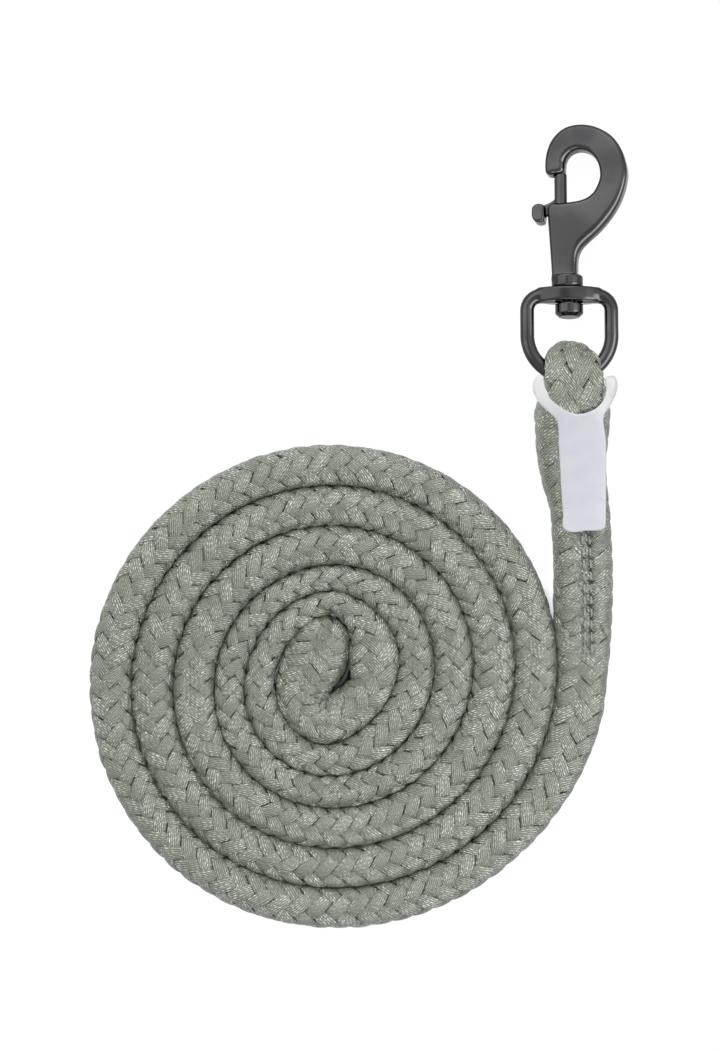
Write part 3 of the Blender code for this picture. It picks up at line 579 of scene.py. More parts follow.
@dataclass
class Studio:
    """Plain pale floor, soft light and a camera straight above, as in the photograph."""

    distance: float = 1.3
    picture_height: float = 0.4362
    sensor: float = 36.0
    aim: tuple = (0.0, 0.0, 0.010)
    room_level: float = 0.13
    floor_half: float = 3.0
    floor_shift: float = 1 / 3
    floor_tone: tuple = (0.8, 0.8, 0.8, 1.0)
    floor_roughness: float = 0.9
    floor_glow: float = 1.06
    floor_own: float = 0.08
    contact_reach: float = 0.011
    contact_shade_limits: tuple = (0.04, 0.12)
    contact_samples: int = 8
    lamps: tuple = (
        Lamp("left", (-0.34, 0.42, 0.44), (1.7, 0.62), 4.7),
        Lamp("right", (0.30, 0.44, 0.42), (1.7, 0.62), 2.4),
        Lamp("low", (0.12, -0.38, 0.38), (0.3, 0.16), 0.9),
        Lamp("card", (0.46, -0.10, 0.34), (0.7, 0.3), 3.5, lights_matt=False),
    )

    def build(self) -> None:
        """Make the camera, the floor, the world and the lamps."""
        self.camera()
        self.floor()
        self.world()
        for lamp in self.lamps:
            lamp.hang()

    def camera(self) -> None:
        """Point a long lens straight down, with the long side of the picture along Y."""
        lens = bpy.data.cameras.new("camera")
        lens.sensor_width = self.sensor
        lens.lens = self.sensor * self.distance / self.picture_height
        item = bpy.data.objects.new("camera", lens)
        item.location = (self.aim[0], self.aim[1], self.aim[2] + self.distance)
        bpy.context.scene.collection.objects.link(item)
        bpy.context.scene.camera = item

    def floor(self) -> None:
        """Lay a large pale sheet that is white where it is seen, with painted shade only in the narrowest
        gaps.
        """
        half = self.floor_half / MM
        corners = np.array([[-half, -half, 0.0], [half, -half, 0.0], [half, half, 0.0], [-half, half, 0.0]])
        corners = corners + np.array([half, -half, 0.0]) * self.floor_shift
        item = make_piece("floor", corners, [np.array([[0, 1, 2, 3]])])
        board = NodeBoard(bpy.data.materials.new("white_paper"))
        item.data.materials.append(
            board.finish({"Base Color": self.floor_tone, "Roughness": self.floor_roughness})
        )
        own = board.shader.outputs[0]
        # painted shade: the glow seen by the camera is dimmed by ambient occlusion in the narrowest gaps near
        # the object
        gap = {"Distance": self.contact_reach}
        sky = board.add("ShaderNodeAmbientOcclusion", {"samples": self.contact_samples}, gap).outputs["AO"]
        strength = board.math("MULTIPLY", board.ramp(sky, *self.contact_shade_limits), self.floor_glow)
        glow = board.add("ShaderNodeEmission", None, {"Strength": strength}).outputs[0]
        bright = board.add("ShaderNodeMixShader", None, {0: self.floor_own, 1: glow, 2: own}).outputs[0]
        both = board.add("ShaderNodeMixShader", None, {0: board.seen(), 1: own, 2: bright}).outputs[0]
        board.feed(board.tree.nodes["Material Output"], {"Surface": both})

    def world(self) -> None:
        """Light the room evenly, white where it is seen."""
        world = bpy.data.worlds.new("room")
        bpy.context.scene.world = world
        board = NodeBoard(world, "Background")
        board.finish({
            "Strength": board.level(board.seen(), self.room_level, 1.0), "Color": (1.0, 1.0, 1.0, 1.0),
        })


class StitchRow(Enum):
    """Rows of stitches along the neck.

    Each has its shifts from the neck's middle at the upper and the lower end, and the depth of its holes.
    """

    LEFT = (-0.6, 0.45, 0.55)
    RIGHT = (2.3, 3.2, 1.0)

    @property
    def depth(self) -> float:
        """Share of the full depth of a hole, and of the painted shade in it."""
        return self.value[2]


class Column(Enum):
    """Columns of the rope's track."""

    WIDTH = 3
    HEIGHT = 4
    PITCH = 5
    GROOVE = 6
    SADDLE = 7
    FLAT = 8
    RELIEF = 9


@dataclass
class BraidedRope:
    """One rope from the tip in the middle of the coil to the end of the eye, with sixteen strands.

    Eight strands run each way round. A strand passes over two and under two, and does so at fixed angles of
    the section, so that columns of slanting floats run along the rope. Rows of the tip, the neck and the eye
    hold X, Y and Z, the width and the height of the section, and in the neck the share of its groove. Pairs
    by turn hold a turn and a value. Waves hold a size and a length, and a start as a third number.
    """

    origin: Array
    bar: Array
    step: float = 1.0
    edge_start: float = 34.7
    edge_turn: float = 2.0
    pitch_inner: float = 10.7
    pitch_outer: float = 16.9
    pitch_turns: tuple = (2.6, 3.4)
    sway_x: tuple = (-1.0, -0.2)
    sway_y: tuple = (0.5, 0.85)
    oval: tuple = (-1.1, 0.8)
    slant: tuple = (1.4, 0.7)
    last_turn: float = 6.75
    release: float = 6.0
    release_turns: tuple = (6.6, 6.85)
    turn_press: float = 1.2
    fold_rim: tuple = (
        (2.0, 27.6), (2.044, 26.1), (2.088, 24.6), (2.149, 24.2), (2.2, 24.7), (2.254, 25.2), (2.317, 26.0),
        (2.379, 27.2), (2.44, 28.3), (2.488, 27.9), (2.539, 25.6), (2.611, 23.0), (2.694, 23.6),
        (2.751, 26.1), (2.793, 28.4), (2.83, 29.8), (2.874, 31.2), (2.947, 34.4), (3.0, 36.3),
    )
    pitch_by_turn: tuple = (
        (2.0, 9.0), (2.5, 8.5), (3.0, 8.0), (4.0, 7.7), (5.0, 7.6), (6.0, 8.1), (6.75, 8.2),
    )
    fold_pitch: tuple = ((0, 5.6), (6, 5.8), (9, 6.8), (12, 8.2), (16, 9.0))
    knots_a_turn: int = 36
    turn_margin: float = 0.01
    growth_turns: tuple = (2.6, 4.4)
    inner_height: float = 17.2
    outer_height: float = 19.4
    strands_each_way: int = 8
    strand_thickness: float = 2.0
    strand_wave: float = 0.9
    strand_overlap: float = 1.02
    strand_swell: float = 0.07
    strand_arch: float = 1.25
    float_lean: float = 0.2
    sewn_relief: float = 0.78
    sides: int = 160
    seed: int = 7
    lift_waves: tuple = ((0.10, 7.3), (0.08, 3.1))
    sway_wave: tuple = (0.035, 11.0)
    swell_wave: tuple = (0.03, 5.7)
    twist_start: float = 1.2
    twist_waves: tuple = ((0.3, 95.0, 0.0), (0.25, 41.0, 1.0))
    strand_power: tuple = (3.0, 0.6)
    strand_top: tuple = (-1.0, -0.9, -0.64, -0.22, 0.22, 0.64, 0.9, 1.0)
    sewn_top: tuple = (0.92, 14)
    strand_foot: tuple = (0.6, -0.8)
    map_step: float = 3.0
    core_gap: float = 0.5
    core_stride: tuple = (2, 4)
    oval_powers: tuple = (2.1, 2.6)
    flat_power: float = 0.7
    least_half: float = 0.5
    smoothing: int = 3

    tip_and_fold: tuple = (
        (-4.2, 25.6, 9.0, 5.0, 6.0),
        (-4.5, 24.4, 9.0, 10.5, 10.5),
        (-4.8, 20.6, 8.8, 20.6, 15.5),
        (-5.8, 15.4, 8.6, 25.8, 17.2),
        (-8.7, 7.7, 8.6, 27.6, 17.4),
        (-12.2, -0.6, 8.6, 25.0, 17.4),
        (-13.6, -8.4, 8.6, 22.0, 17.2),
        (-10.4, -14.4, 8.6, 20.6, 17.2),
        (-3.4, -17.4, 8.6, 20.6, 17.2),
        (3.6, -14.6, 8.6, 20.4, 17.2),
        (9.9, -10.2, 8.6, 19.6, 17.2),
        (15.2, -3.4, 8.6, 19.0, 17.2),
        (16.5, 4.6, 8.6, 22.0, 17.2),
        (16.2, 11.8, 8.6, 22.0, 17.2),
        (14.9, 18.0, 8.5, 18.4, 17.0),
        (11.0, 24.6, 8.4, 15.0, 16.8),
        (4.6, 29.6, 8.4, 11.6, 16.8),
    )
    neck: tuple = (
        (102.8, 8.0, 9.6, 22.4, 19.2, 0.0),
        (102.9, 20.0, 10.1, 24.0, 20.2, 1.0),
        (102.9, 33.0, 10.5, 24.9, 21.0, 1.0),
        (102.9, 48.0, 10.8, 24.9, 21.6, 1.0),
        (102.2, 62.0, 11.2, 24.9, 22.4, 0.9),
        (101.3, 72.0, 12.0, 24.8, 24.0, 0.2),
        (98.8, 85.0, 13.2, 27.2, 26.4, 0.0),
        (98.0, 96.0, 14.1, 29.6, 28.2, 0.0),
        (98.3, 104.5, 14.1, 31.0, 28.0, 0.0),
        (98.3, 112.0, 11.0, 31.2, 20.0, 0.0),
    )
    eye_lower: tuple = ((98.2, 118.0, 10.2, 25.6, 13.2),)
    eye_upper: tuple = (
        (97.7, 118.0, 28.2, 25.4, 12.4),
        (97.6, 112.0, 26.0, 26.4, 13.0),
        (97.6, 105.0, 22.0, 26.8, 13.0),
        (97.8, 97.0, 17.0, 24.0, 11.0),
    )
    eye_middle_x: float = 97.6
    eye_sway: tuple = (0.2, -1.2, 0.3)
    bend_knots: int = 9
    neck_pitch: float = 7.2
    eye_pitches: tuple = (8.6, 10.0, 9.4)
    lower_saddle: float = 0.3
    neck_from_x: float = 95.0
    eye_turn: tuple = (60.0, 72.0)
    eye_rows: int = 60
    coil_end_y: tuple = (19.9, 22.0)
    eye_radius: float = 9.05
    eye_width: float = 24.6
    eye_apex_width: float = 19.0
    eye_thickness: float = 11.9
    ring_radius: float = 17.4
    ring_wire: float = 5.6
    ring_gap: float = 0.4
    groove_depth: float = 0.9
    groove_half: float = 2.8
    groove_shift: float = 1.3
    stitch_pitch: float = 5.0
    stitch_depth: float = 2.8
    stitch_half: float = 0.62
    thread_radius: float = 0.45
    hole_length: float = 3.2
    stitch_span: tuple = (10.2, 62.4)
    coil_stretches: int = 4
    stitch_least: float = 0.3
    sewn_margin: float = 2.0
    hole_spread: float = 1.2
    thread_step: float = 0.3
    thread_sides: int = 10
    thread_rise: float = 0.95
    thread_sink: float = 2.8
    sink_start: float = 0.15
    top_slope: float = 0.2
    seam_smooth: int = 3
    path_stride: int = 3
    coil_diameter: float = 21.0
    sewn_diameter: float = 24.0
    # filler tube of yarn in the fold's slit, put where there is only shade
    fold_shade_bed: tuple = (
        (-3.5, -7.0, 3.2), (0.0, -4.0, 3.2), (3.0, -1.5, 3.2), (5.3, 3.0, 3.2), (6.0, 8.0, 3.2),
        (6.0, 15.0, 3.2), (4.0, 21.0, 3.2), (0.0, 25.0, 3.2),
    )
    shade_bed_radius: float = 3.0
    shade_bed_sides: int = 12
    shade_bed_end: tuple = (6, 0.01)
    track: Array = field(init=False)
    surface: Array = field(init=False)
    outward: Array = field(init=False)
    girth: Array = field(init=False)
    phase: Array = field(init=False)
    twist: Array = field(init=False)

    def turn_edge(self, turn: Array) -> Array:
        """Work out the radius of a turn's outer edge.

        The radius is the spacing summed over the turns, plus a sway and an oval that change from the first
        turn to the last, plus the release with which the last quarter leaves the coil.

        Args:
            turn: Turn counts, whole at the top of the coil.

        Returns:
            Radii in millimetres.
        """
        low, high = self.pitch_turns
        share = np.clip((turn - low) / (high - low), 0.0, 1.0)
        early = (high - low) * (share**3 - share**4 / 2)
        grown = np.where(turn > high, (high - low) / 2 + turn - high, early)
        radius = self.edge_start + self.pitch_inner * (turn - self.edge_turn)
        radius = radius + (self.pitch_outer - self.pitch_inner) * grown
        age = (turn - self.edge_turn) / (self.last_turn - self.edge_turn)
        angle = TAU / 4 + TAU * turn
        waves = (np.cos(angle), np.sin(angle), np.cos(2 * angle), np.sin(2 * angle))
        for (first, last), wave in zip((self.sway_x, self.sway_y, self.oval, self.slant), waves):
            radius = radius + (first + (last - first) * age) * wave
        return radius + self.release * smooth_step(*self.release_turns, turn)

    def coil_knots(self) -> Array:
        """Return knots of the coil, midway between the edges of neighbouring turns."""
        turn = np.arange(self.edge_turn, self.last_turn - self.turn_margin, 1 / self.knots_a_turn)
        outer = self.turn_edge(turn)
        rim = np.interp(turn, *np.array(self.fold_rim).T)
        inner = np.where(turn < self.edge_turn + 1.0, rim, self.turn_edge(turn - 1.0))
        angle = TAU / 4 + TAU * turn
        radius = (outer + inner) / 2
        growth = smooth_step(*self.growth_turns, turn)
        height = self.inner_height + (self.outer_height - self.inner_height) * growth
        pitch = np.interp(turn, *np.array(self.pitch_by_turn).T)
        places = np.stack([radius * np.cos(angle), radius * np.sin(angle), height / 2], axis=1)
        return self.beside(places, outer - inner + self.turn_press, height, pitch, 0.0, 0.0, 1.0, 1.0)

    @staticmethod
    def beside(rows: Array, *columns: float | Array) -> Array:
        """Put columns beside rows, each with one value for all rows or one for each."""
        return np.column_stack([rows, *(np.broadcast_to(column, len(rows)) for column in columns)])

    def knots(self) -> Array:
        """Return the knots of the whole rope, from the tip to the end of the eye."""
        tables = (self.tip_and_fold, self.neck, self.eye_lower, self.eye_upper)
        fold, neck, lower, upper = (np.array(table) for table in tables)
        fold_pitch = np.interp(np.arange(len(fold)), *np.array(self.fold_pitch).T)
        lower_pitch, bend_pitch, upper_pitch = self.eye_pitches
        bend = np.linspace(-TAU / 4, TAU / 4, self.bend_knots)
        bend_x = self.eye_middle_x + np.interp(bend, (-TAU / 4, 0.0, TAU / 4), self.eye_sway)
        bend_y = self.bar[1] + self.eye_radius * np.cos(bend)
        bend_z = self.bar[2] + self.eye_radius * np.sin(bend)
        width = self.eye_width + (self.eye_apex_width - self.eye_width) * np.cos(bend) ** 2
        bends = np.stack([bend_x, bend_y, bend_z, width], axis=1)
        relief, saddle = self.sewn_relief, self.lower_saddle
        return np.concatenate([
            self.beside(fold, fold_pitch, 0.0, 0.0, 1.0, 1.0),
            self.coil_knots(),
            self.beside(neck[:, :5], self.neck_pitch, neck[:, 5], 0.0, 1.0, relief),
            self.beside(lower, lower_pitch, 0.0, saddle, saddle, relief),
            self.beside(bends, self.eye_thickness, bend_pitch, 0.0, 1.0, 0.0, relief),
            self.beside(upper, upper_pitch, 0.0, 0.0, 0.0, relief),
        ])

    def outlines(self) -> tuple[Array, Array]:
        """Work out the middle of the braid's layer round every station of the track.

        A section is a rounded oval, flatter below where it lies, with the sewn groove on top of the neck, and
        hollow towards the ring at the eye, where the distance from the bar follows the ring's inner edge.

        Returns:
            Places across and above the centre line, one row a station, equally spaced round the section.
        """
        column = {name: self.track[:, name.value][:, None] for name in Column}
        angle = np.linspace(0.0, TAU, self.sides * 2, endpoint=False)[None, :]
        cosine, sine = np.cos(angle), np.sin(angle)
        inset = (self.strand_wave + self.strand_thickness / 2) * column[Column.RELIEF]
        half = np.maximum(column[Column.WIDTH] / 2 - inset, self.least_half)
        rise = np.maximum(column[Column.HEIGHT] / 2 - inset, self.least_half)
        flat = self.flat_power * column[Column.FLAT]
        wide, tall = self.oval_powers
        across = half * signed_power(cosine, 2 / (wide + flat))
        above = rise * signed_power(sine, 2 / (tall + flat * (sine < 0)))
        dip = self.groove_depth * np.exp(-(((across - self.groove_shift) / self.groove_half) ** 2))
        place_y = self.track[:, 1:2]
        pulled = 0.5 + 0.5 * np.cos(TAU * place_y / self.stitch_pitch)
        pulled = self.stitch_least + (1.0 - self.stitch_least) * pulled
        for row in StitchRow:
            beside = across - self.stitch_shift(row, place_y)
            depth = self.stitch_depth * row.depth * pulled
            dip = dip + depth * np.exp(-((beside / self.stitch_half) ** 2))
        above = above - column[Column.GROOVE] * dip * (sine > 0)
        inner = self.ring_radius - self.ring_wire / 2
        from_bar = np.abs(across + self.track[:, :1] - self.bar[0])
        rim = self.ring_radius - np.sqrt(np.maximum(inner**2 - (from_bar + inset) ** 2, 1.0))
        rim = np.maximum(rim, self.ring_wire / 2) + self.ring_gap + inset
        hollow = self.eye_radius - rim
        edge = hollow[:, :1]
        outer = edge + (-rise - edge) * np.abs(sine)
        saddle = np.where(sine >= 0, hollow, outer)
        above = above + (saddle - above) * column[Column.SADDLE]
        for _ in range(self.smoothing):
            across, above = (
                (np.roll(line, 1, 1) + 2 * line + np.roll(line, -1, 1)) / 4 for line in (across, above)
            )
        return self.even_round(across, above)

    def stitch_shift(self, row: StitchRow, along: Array) -> Array:
        """Return how far a row of stitches lies from the neck's middle at places along the neck."""
        upper, lower, _ = row.value
        low, high = self.stitch_span
        return upper + (lower - upper) * np.clip((high - along) / (high - low), 0.0, 1.0)

    def neck_rows(self) -> Array:
        """Return the stations of the neck that the stitches go through."""
        low, high = self.stitch_span
        x, y = self.track[:, 0], self.track[:, 1]
        in_neck = (x > self.neck_from_x) & (y > low - self.sewn_margin) & (y < high + self.sewn_margin)
        return np.flatnonzero(in_neck & (np.arange(len(x)) < len(x) - self.eye_rows))

    def stitch_holes(self, points: Array) -> Array:
        """Work out how far points lie in the holes of the stitches.

        A hole is a bell across its row times a bell along it, once in every stitch, on the neck's upper side.

        Args:
            points: Points about the middle of the coil.

        Returns:
            Shares from 0 outside the holes to 1 in the middle of the darkest.
        """
        # The shares set the painted shade that darkens the yarn in the stitches' holes.
        rows = self.neck_rows()
        x, y, z = points.T
        low, high = self.stitch_span
        middle, level = (np.interp(y, self.track[rows, 1], self.track[rows, axis]) for axis in (0, 2))
        past = (np.mod(y / self.stitch_pitch + 0.5, 1.0) - 0.5) * self.stitch_pitch
        share = np.zeros(len(points))
        for row in StitchRow:
            beside = (x - middle - self.stitch_shift(row, y)) / (self.hole_spread * self.stitch_half)
            bell = np.exp(-(beside**2) - (2 * past / self.hole_length) ** 4)
            share = np.maximum(share, row.depth * bell)
        return share * (z > level) * (x > self.neck_from_x) * (y > low) * (y < high)

    def even_round(self, across: Array, above: Array) -> tuple[Array, Array]:
        """Space the points of every outline equally by length, and keep the outlines' lengths as girths."""
        closed = [np.concatenate([line, line[:, :1]], axis=1) for line in (across, above)]
        pieces = np.hypot(*(np.diff(line, axis=1) for line in closed))
        run = np.concatenate([np.zeros((len(pieces), 1)), np.cumsum(pieces, axis=1)], axis=1)
        self.girth = run[:, -1]
        row = 2.0 * np.arange(len(run))[:, None]
        share = (run / self.girth[:, None] + row).ravel()
        wanted = (np.arange(self.sides)[None, :] / self.sides + row).ravel()
        even_x, even_y = (np.interp(wanted, share, line.ravel()).reshape(-1, self.sides) for line in closed)
        return even_x, even_y

    def lay(self) -> None:
        """Lay the track and work out the surface through the middle of the braid, and which way it faces."""
        self.track = spline(self.knots(), self.step)
        line = self.track[:, :3]
        ahead = unit(np.gradient(line, axis=0))
        flat_side = unit(np.stack([ahead[:, 1], -ahead[:, 0], np.zeros(len(line))], axis=1))
        eye_side = unit(ACROSS - ahead * ahead[:, :1])
        turn_x, turn_y = self.eye_turn
        past_neck = np.cumsum(line[:, 1] > turn_y) * (line[:, 0] > turn_x) > 0
        side = np.where(past_neck[:, None], eye_side, flat_side)
        up = np.cross(side, ahead)
        across, above = self.outlines()
        self.surface = line[:, None] + side[:, None] * across[..., None] + up[:, None] * above[..., None]
        round_way = np.roll(self.surface, -1, 1) - np.roll(self.surface, 1, 1)
        along_way = np.gradient(self.surface, axis=0)
        self.outward = unit(np.cross(along_way, round_way))
        speed = TAU / self.strands_each_way / self.track[:, Column.PITCH.value]
        self.phase = np.concatenate([[0.0], np.cumsum((speed[1:] + speed[:-1]) / 2 * self.step)])
        run = np.arange(len(line)) * self.step
        waves = (size * np.sin(run / length + start) for size, length, start in self.twist_waves)
        self.twist = sum(waves, self.twist_start)

    def at(self, grid: Array, station: Array, angle: Array) -> Array:
        """Read a grid of the surface between its stations and sides.

        Args:
            grid: Values by station and side.
            station: Station counts, with parts of a step.
            angle: Angles round the section.

        Returns:
            Values mixed from the four nearest points.
        """
        station = np.clip(station, 0.0, len(grid) - 1.001)
        column = np.mod(angle / TAU, 1.0) * self.sides
        row0 = station.astype(int)
        col0 = column.astype(int) % self.sides
        row_share = (station - row0)[..., None]
        col_share = (column - np.floor(column))[..., None]
        col1 = (col0 + 1) % self.sides
        near = grid[row0, col0] * (1 - col_share) + grid[row0, col1] * col_share
        far = grid[row0 + 1, col0] * (1 - col_share) + grid[row0 + 1, col1] * col_share
        return near * (1 - row_share) + far * row_share

    def strand_profile(self, sewn: bool) -> tuple[Array, Array]:
        """Return the strand's outline: places across it from -1 to 1, and heights in halves of its thickness.

        A sewn stretch has more places, because the holes of the stitches are smaller than a strand.
        """
        top = np.array(self.strand_top)
        if sewn:
            reach, count = self.sewn_top
            top = np.concatenate([[-1.0], np.linspace(-reach, reach, count), [1.0]])
        bulge, ease = self.strand_power
        foot, depth = self.strand_foot
        height = np.concatenate([(1 - np.abs(top) ** bulge) ** ease, [depth, depth]])
        return np.concatenate([top, [foot, -foot]]), height

    def strands(self, first: int, last: int, sewn: bool) -> tuple[Array, Array]:
        """Weave the sixteen strands over a stretch of stations.

        The middle of a strand goes round the section as the phase grows, one way or the other, faster where
        it floats than where it is under others. Its height above the surface is a flat topped wave of four
        periods in a round, up for one way where it is down for the other. Points across the strand are offset
        square to it on the unrolled surface. Small waves make every strand's height, place and width uneven.

        Args:
            first: First station.
            last: Last station.
            sewn: Whether stitches go through the stretch.

        Returns:
            Points by strand, station and place round the strand, and their strand map.
        """
        count = self.strands_each_way
        way = np.repeat([1.0, -1.0], count)[:, None]
        start = np.tile(np.arange(count) * TAU / count, 2)[:, None]
        rng = np.random.default_rng(self.seed)
        lots = rng.uniform(0.0, TAU, (3, 2 * count, 1))
        station = np.arange(first, last + 1, dtype=float)[None, :].repeat(2 * count, 0)
        run = station * self.step
        rows = station.astype(int)
        turned = way * (self.phase[rows] + start)
        column = 4 * turned - TAU / 8
        above = way * np.cos(column)
        wave = self.strand_wave * np.tanh(self.strand_arch * above) / math.tanh(self.strand_arch)
        for (size, length), lot in zip(self.lift_waves, lots):
            wave = wave + size * np.sin(run / length + lot)
        size, length = self.sway_wave
        angle = self.twist[rows] + turned + size * np.sin(run / length + lots[2])
        angle = angle + way * self.float_lean / 4 * np.sin(column)
        radius = self.girth[rows] / TAU
        pitch = self.track[rows, Column.PITCH.value]
        lean = np.arctan(way * radius * TAU / count / pitch * (1 + self.float_lean * above))
        half = pitch * np.abs(np.sin(lean)) * self.strand_overlap / 2
        size, length = self.swell_wave
        half = half * (1 + self.strand_swell * above + size * np.sin(run / length + lots[1]))
        across, height = self.strand_profile(sewn)
        offset = half[..., None] * across
        station_q = station[..., None] - np.sin(lean)[..., None] * offset / self.step
        angle_q = angle[..., None] + np.cos(lean)[..., None] * offset / radius[..., None]
        lift = wave[..., None] + self.strand_thickness / 2 * height
        lift = lift * self.track[rows, Column.RELIEF.value][..., None]
        points = self.at(self.surface, station_q, angle_q)
        points = points + unit(self.at(self.outward, station_q, angle_q)) * lift[..., None]
        length = np.cumsum(self.step / np.cos(lean), axis=1)[..., None]
        strand = np.arange(2 * count)[:, None, None]
        uv = np.stack(np.broadcast_arrays(length, strand * self.map_step + (across + 1) / 2), axis=-1)
        return points, uv

    def core(self, first: int, last: int) -> Array:
        """Return the plain skin just under the strands over a stretch of stations."""
        along, across = self.core_stride
        rows = np.unique(np.append(np.arange(first, last, along), last))
        depth = (self.strand_wave + self.core_gap) * self.track[rows, Column.RELIEF.value]
        skin = self.surface[rows, ::across] - self.outward[rows, ::across] * depth[:, None, None]
        return skin[:, ::-1]

    def shade_bed(self) -> Array:
        """Return a low tube of yarn with rounded ends in the fold's slit, put where there is only shade so
        that the slit shows dark.
        """
        line = spline(np.array(self.fold_shade_bed), self.step)
        way = unit(np.gradient(line, axis=0))
        side = np.stack([way[:, 1], -way[:, 0], np.zeros(len(line))], axis=1)[:, None]
        power, least = self.shade_bed_end
        share = np.linspace(-1.0, 1.0, len(line))
        radius = (self.shade_bed_radius * np.sqrt(np.maximum(1.0 - share**power, least)))[:, None, None]
        return round_tube(line, side, UP, radius, self.shade_bed_sides)

    def stretch(
        self, name: str, first: int, last: int, yarn: Material, *nodes: str
    ) -> Piece:
        """Make one stretch of the rope as a piece.

        Args:
            name: Name of the piece.
            first: First station.
            last: Last station.
            yarn: Finish of the rope.
            nodes: Nodes of the frame that it stands for.

        Returns:
            The piece.
        """
        points, uv = self.strands(first, last, "rope_neck" in nodes)
        faces = tube_faces(*points.shape[:3])
        every, uv = points.reshape(-1, 3), uv.reshape(-1, 2)
        for tube in [self.core(first, last)] + ([self.shade_bed()] if first == 0 else []):
            faces = faces + [block + len(every) for block in tube_faces(1, *tube.shape[:2])]
            every = np.concatenate([every, tube.reshape(-1, 3)])
            # The core and the filler take the strand map's zero, where the finish's painted edge shade is
            # full.
            uv = np.concatenate([uv, np.zeros((tube[..., 0].size, 2))])
        piece = make_piece(name, every + self.origin, faces, uv, self.stitch_holes(every))
        settle(piece, Body.ROPE, Slot.ROPE, yarn, *nodes)
        return piece

    def seam(self, row: StitchRow, thread: Material) -> None:
        """Sew one row of stitches down the neck.

        The thread follows the top of the braid, and dips into it once in every stitch as the positive part of
        a cosine does. A circle is carried along it.

        Args:
            row: Row to sew.
            thread: Finish of the thread.
        """
        along = np.arange(*self.stitch_span, self.thread_step)
        rows = self.neck_rows()
        place_y = self.track[rows, 1]
        across = self.track[rows, 0] + self.stitch_shift(row, place_y)
        skin = self.surface[rows]
        aside = np.abs(skin[..., 0] - across[:, None])
        aside = np.where(self.outward[rows][..., 2] < self.top_slope, FAR, aside)
        top = skin[np.arange(len(rows)), np.argmin(aside, axis=1), 2]
        window = 2 * self.seam_smooth + 1
        top = np.convolve(np.pad(top, self.seam_smooth, "edge"), np.ones(window) / window, "valid")
        sunk = np.clip(np.cos(TAU * along / self.stitch_pitch) - self.sink_start, 0.0, 1.0)
        z = np.interp(along, place_y, top) + self.thread_rise - self.thread_sink * sunk
        z = z + (self.strand_wave + self.strand_thickness / 2) * self.sewn_relief
        line = np.stack([np.interp(along, place_y, across), along, z], axis=1)
        points = round_tube(line, ACROSS, UP, self.thread_radius, self.thread_sides)
        turn = np.arange(self.thread_sides) / self.thread_sides
        uv = np.stack(np.broadcast_arrays(along[:, None], turn[None]), axis=-1).reshape(-1, 2)
        side = row.name.lower()
        faces = tube_faces(1, *points.shape[:2])
        piece = make_piece(f"stitch_row_{side}", points.reshape(-1, 3) + self.origin, faces, uv)
        settle(piece, Body.ROPE, Slot.THREAD, thread, f"seam_thread_{side}")

    def build(self, yarn: Material, thread: Material) -> None:
        """Make the stretches of the coil, the sewn end and its stitches."""
        self.lay()
        x, y = self.track[:, 0], self.track[:, 1]
        low, high = self.coil_end_y
        end = int(np.argmax((x > self.neck_from_x) & (y > low) & (y < high)))
        cuts = np.linspace(0, end, self.coil_stretches + 1).astype(int)
        for number, (first, last) in enumerate(zip(cuts[:-1], cuts[1:])):
            piece = self.stretch(f"coil_stretch_{number + 1}", first, last, yarn, "rope_coil")
        last = len(x) - 1
        piece = self.stretch("sewn_neck_and_eye", end, last, yarn, "rope_neck", "rope_eye")
        for row in StitchRow:
            self.seam(row, thread)
        LOG.info("rope length %.0f mm", len(x) * self.step)


def turn_about(axis: int, degrees: float) -> Array:
    """Return the four by four matrix of a turn about the X (0), Y (1) or Z (2) axis."""
    cosine, sine = math.cos(math.radians(degrees)), math.sin(math.radians(degrees))
    first, second = (axis + 1) % 3, (axis + 2) % 3
    matrix = np.eye(4)
    matrix[first, first] = matrix[second, second] = cosine
    matrix[first, second], matrix[second, first] = -sine, sine
    return matrix


def shift_by(x: float, y: float, z: float) -> Array:
    """Return the four by four matrix of a move."""
    matrix = np.eye(4)
    matrix[:3, 3] = (x, y, z)
    return matrix


def placed(points: Array, matrix: Array) -> Array:
    """Return points moved by a four by four matrix."""
    return points @ matrix[:3, :3].T + matrix[:3, 3]


def outline_distance(x: Array, y: Array, outline: Array) -> Array:
    """Measure the distance to a closed outline, below zero inside it.

    The size is the least distance to any of its straight steps. The sign comes from the count of steps that a
    ray towards +X crosses.

    Args:
        x: Places across.
        y: Places along, in the same shape.
        outline: Points of the outline in two columns.

    Returns:
        Distances in the shape of the places.
    """
    point = np.stack([x.ravel(), y.ravel()], axis=1)
    start, end = outline, np.roll(outline, -1, axis=0)
    least = np.full(len(point), FAR)
    inside = np.zeros(len(point), dtype=bool)
    for block in np.array_split(np.arange(len(point)), max(1, len(point) * len(outline) // PAIRS_AT_ONCE)):
        to = point[block, None] - start[None]
        way = (end - start)[None]
        share = np.clip((to * way).sum(-1) / np.maximum((way * way).sum(-1), TINY), 0.0, 1.0)
        least[block] = np.linalg.norm(to - way * share[..., None], axis=-1).min(axis=1)
        level = point[block, None, 1]
        rises = (start[None, :, 1] > level) != (end[None, :, 1] > level)
        height = np.where(np.abs(way[..., 1]) < TINY, TINY, way[..., 1])
        meets = start[None, :, 0] + (level - start[None, :, 1]) * way[..., 0] / height
        inside[block] = (np.count_nonzero(rises & (point[block, None, 0] < meets), axis=1) % 2) == 1
    return np.where(inside, -least, least).reshape(x.shape)


def plate(x: Array, y: Array, knots: tuple) -> Array:
    """Measure the distance to the smooth outline through knots in a block, the same all through Z."""
    return outline_distance(x[:, :, 0], y[:, :, 0], closed_curve(np.array(knots)))[:, :, None]


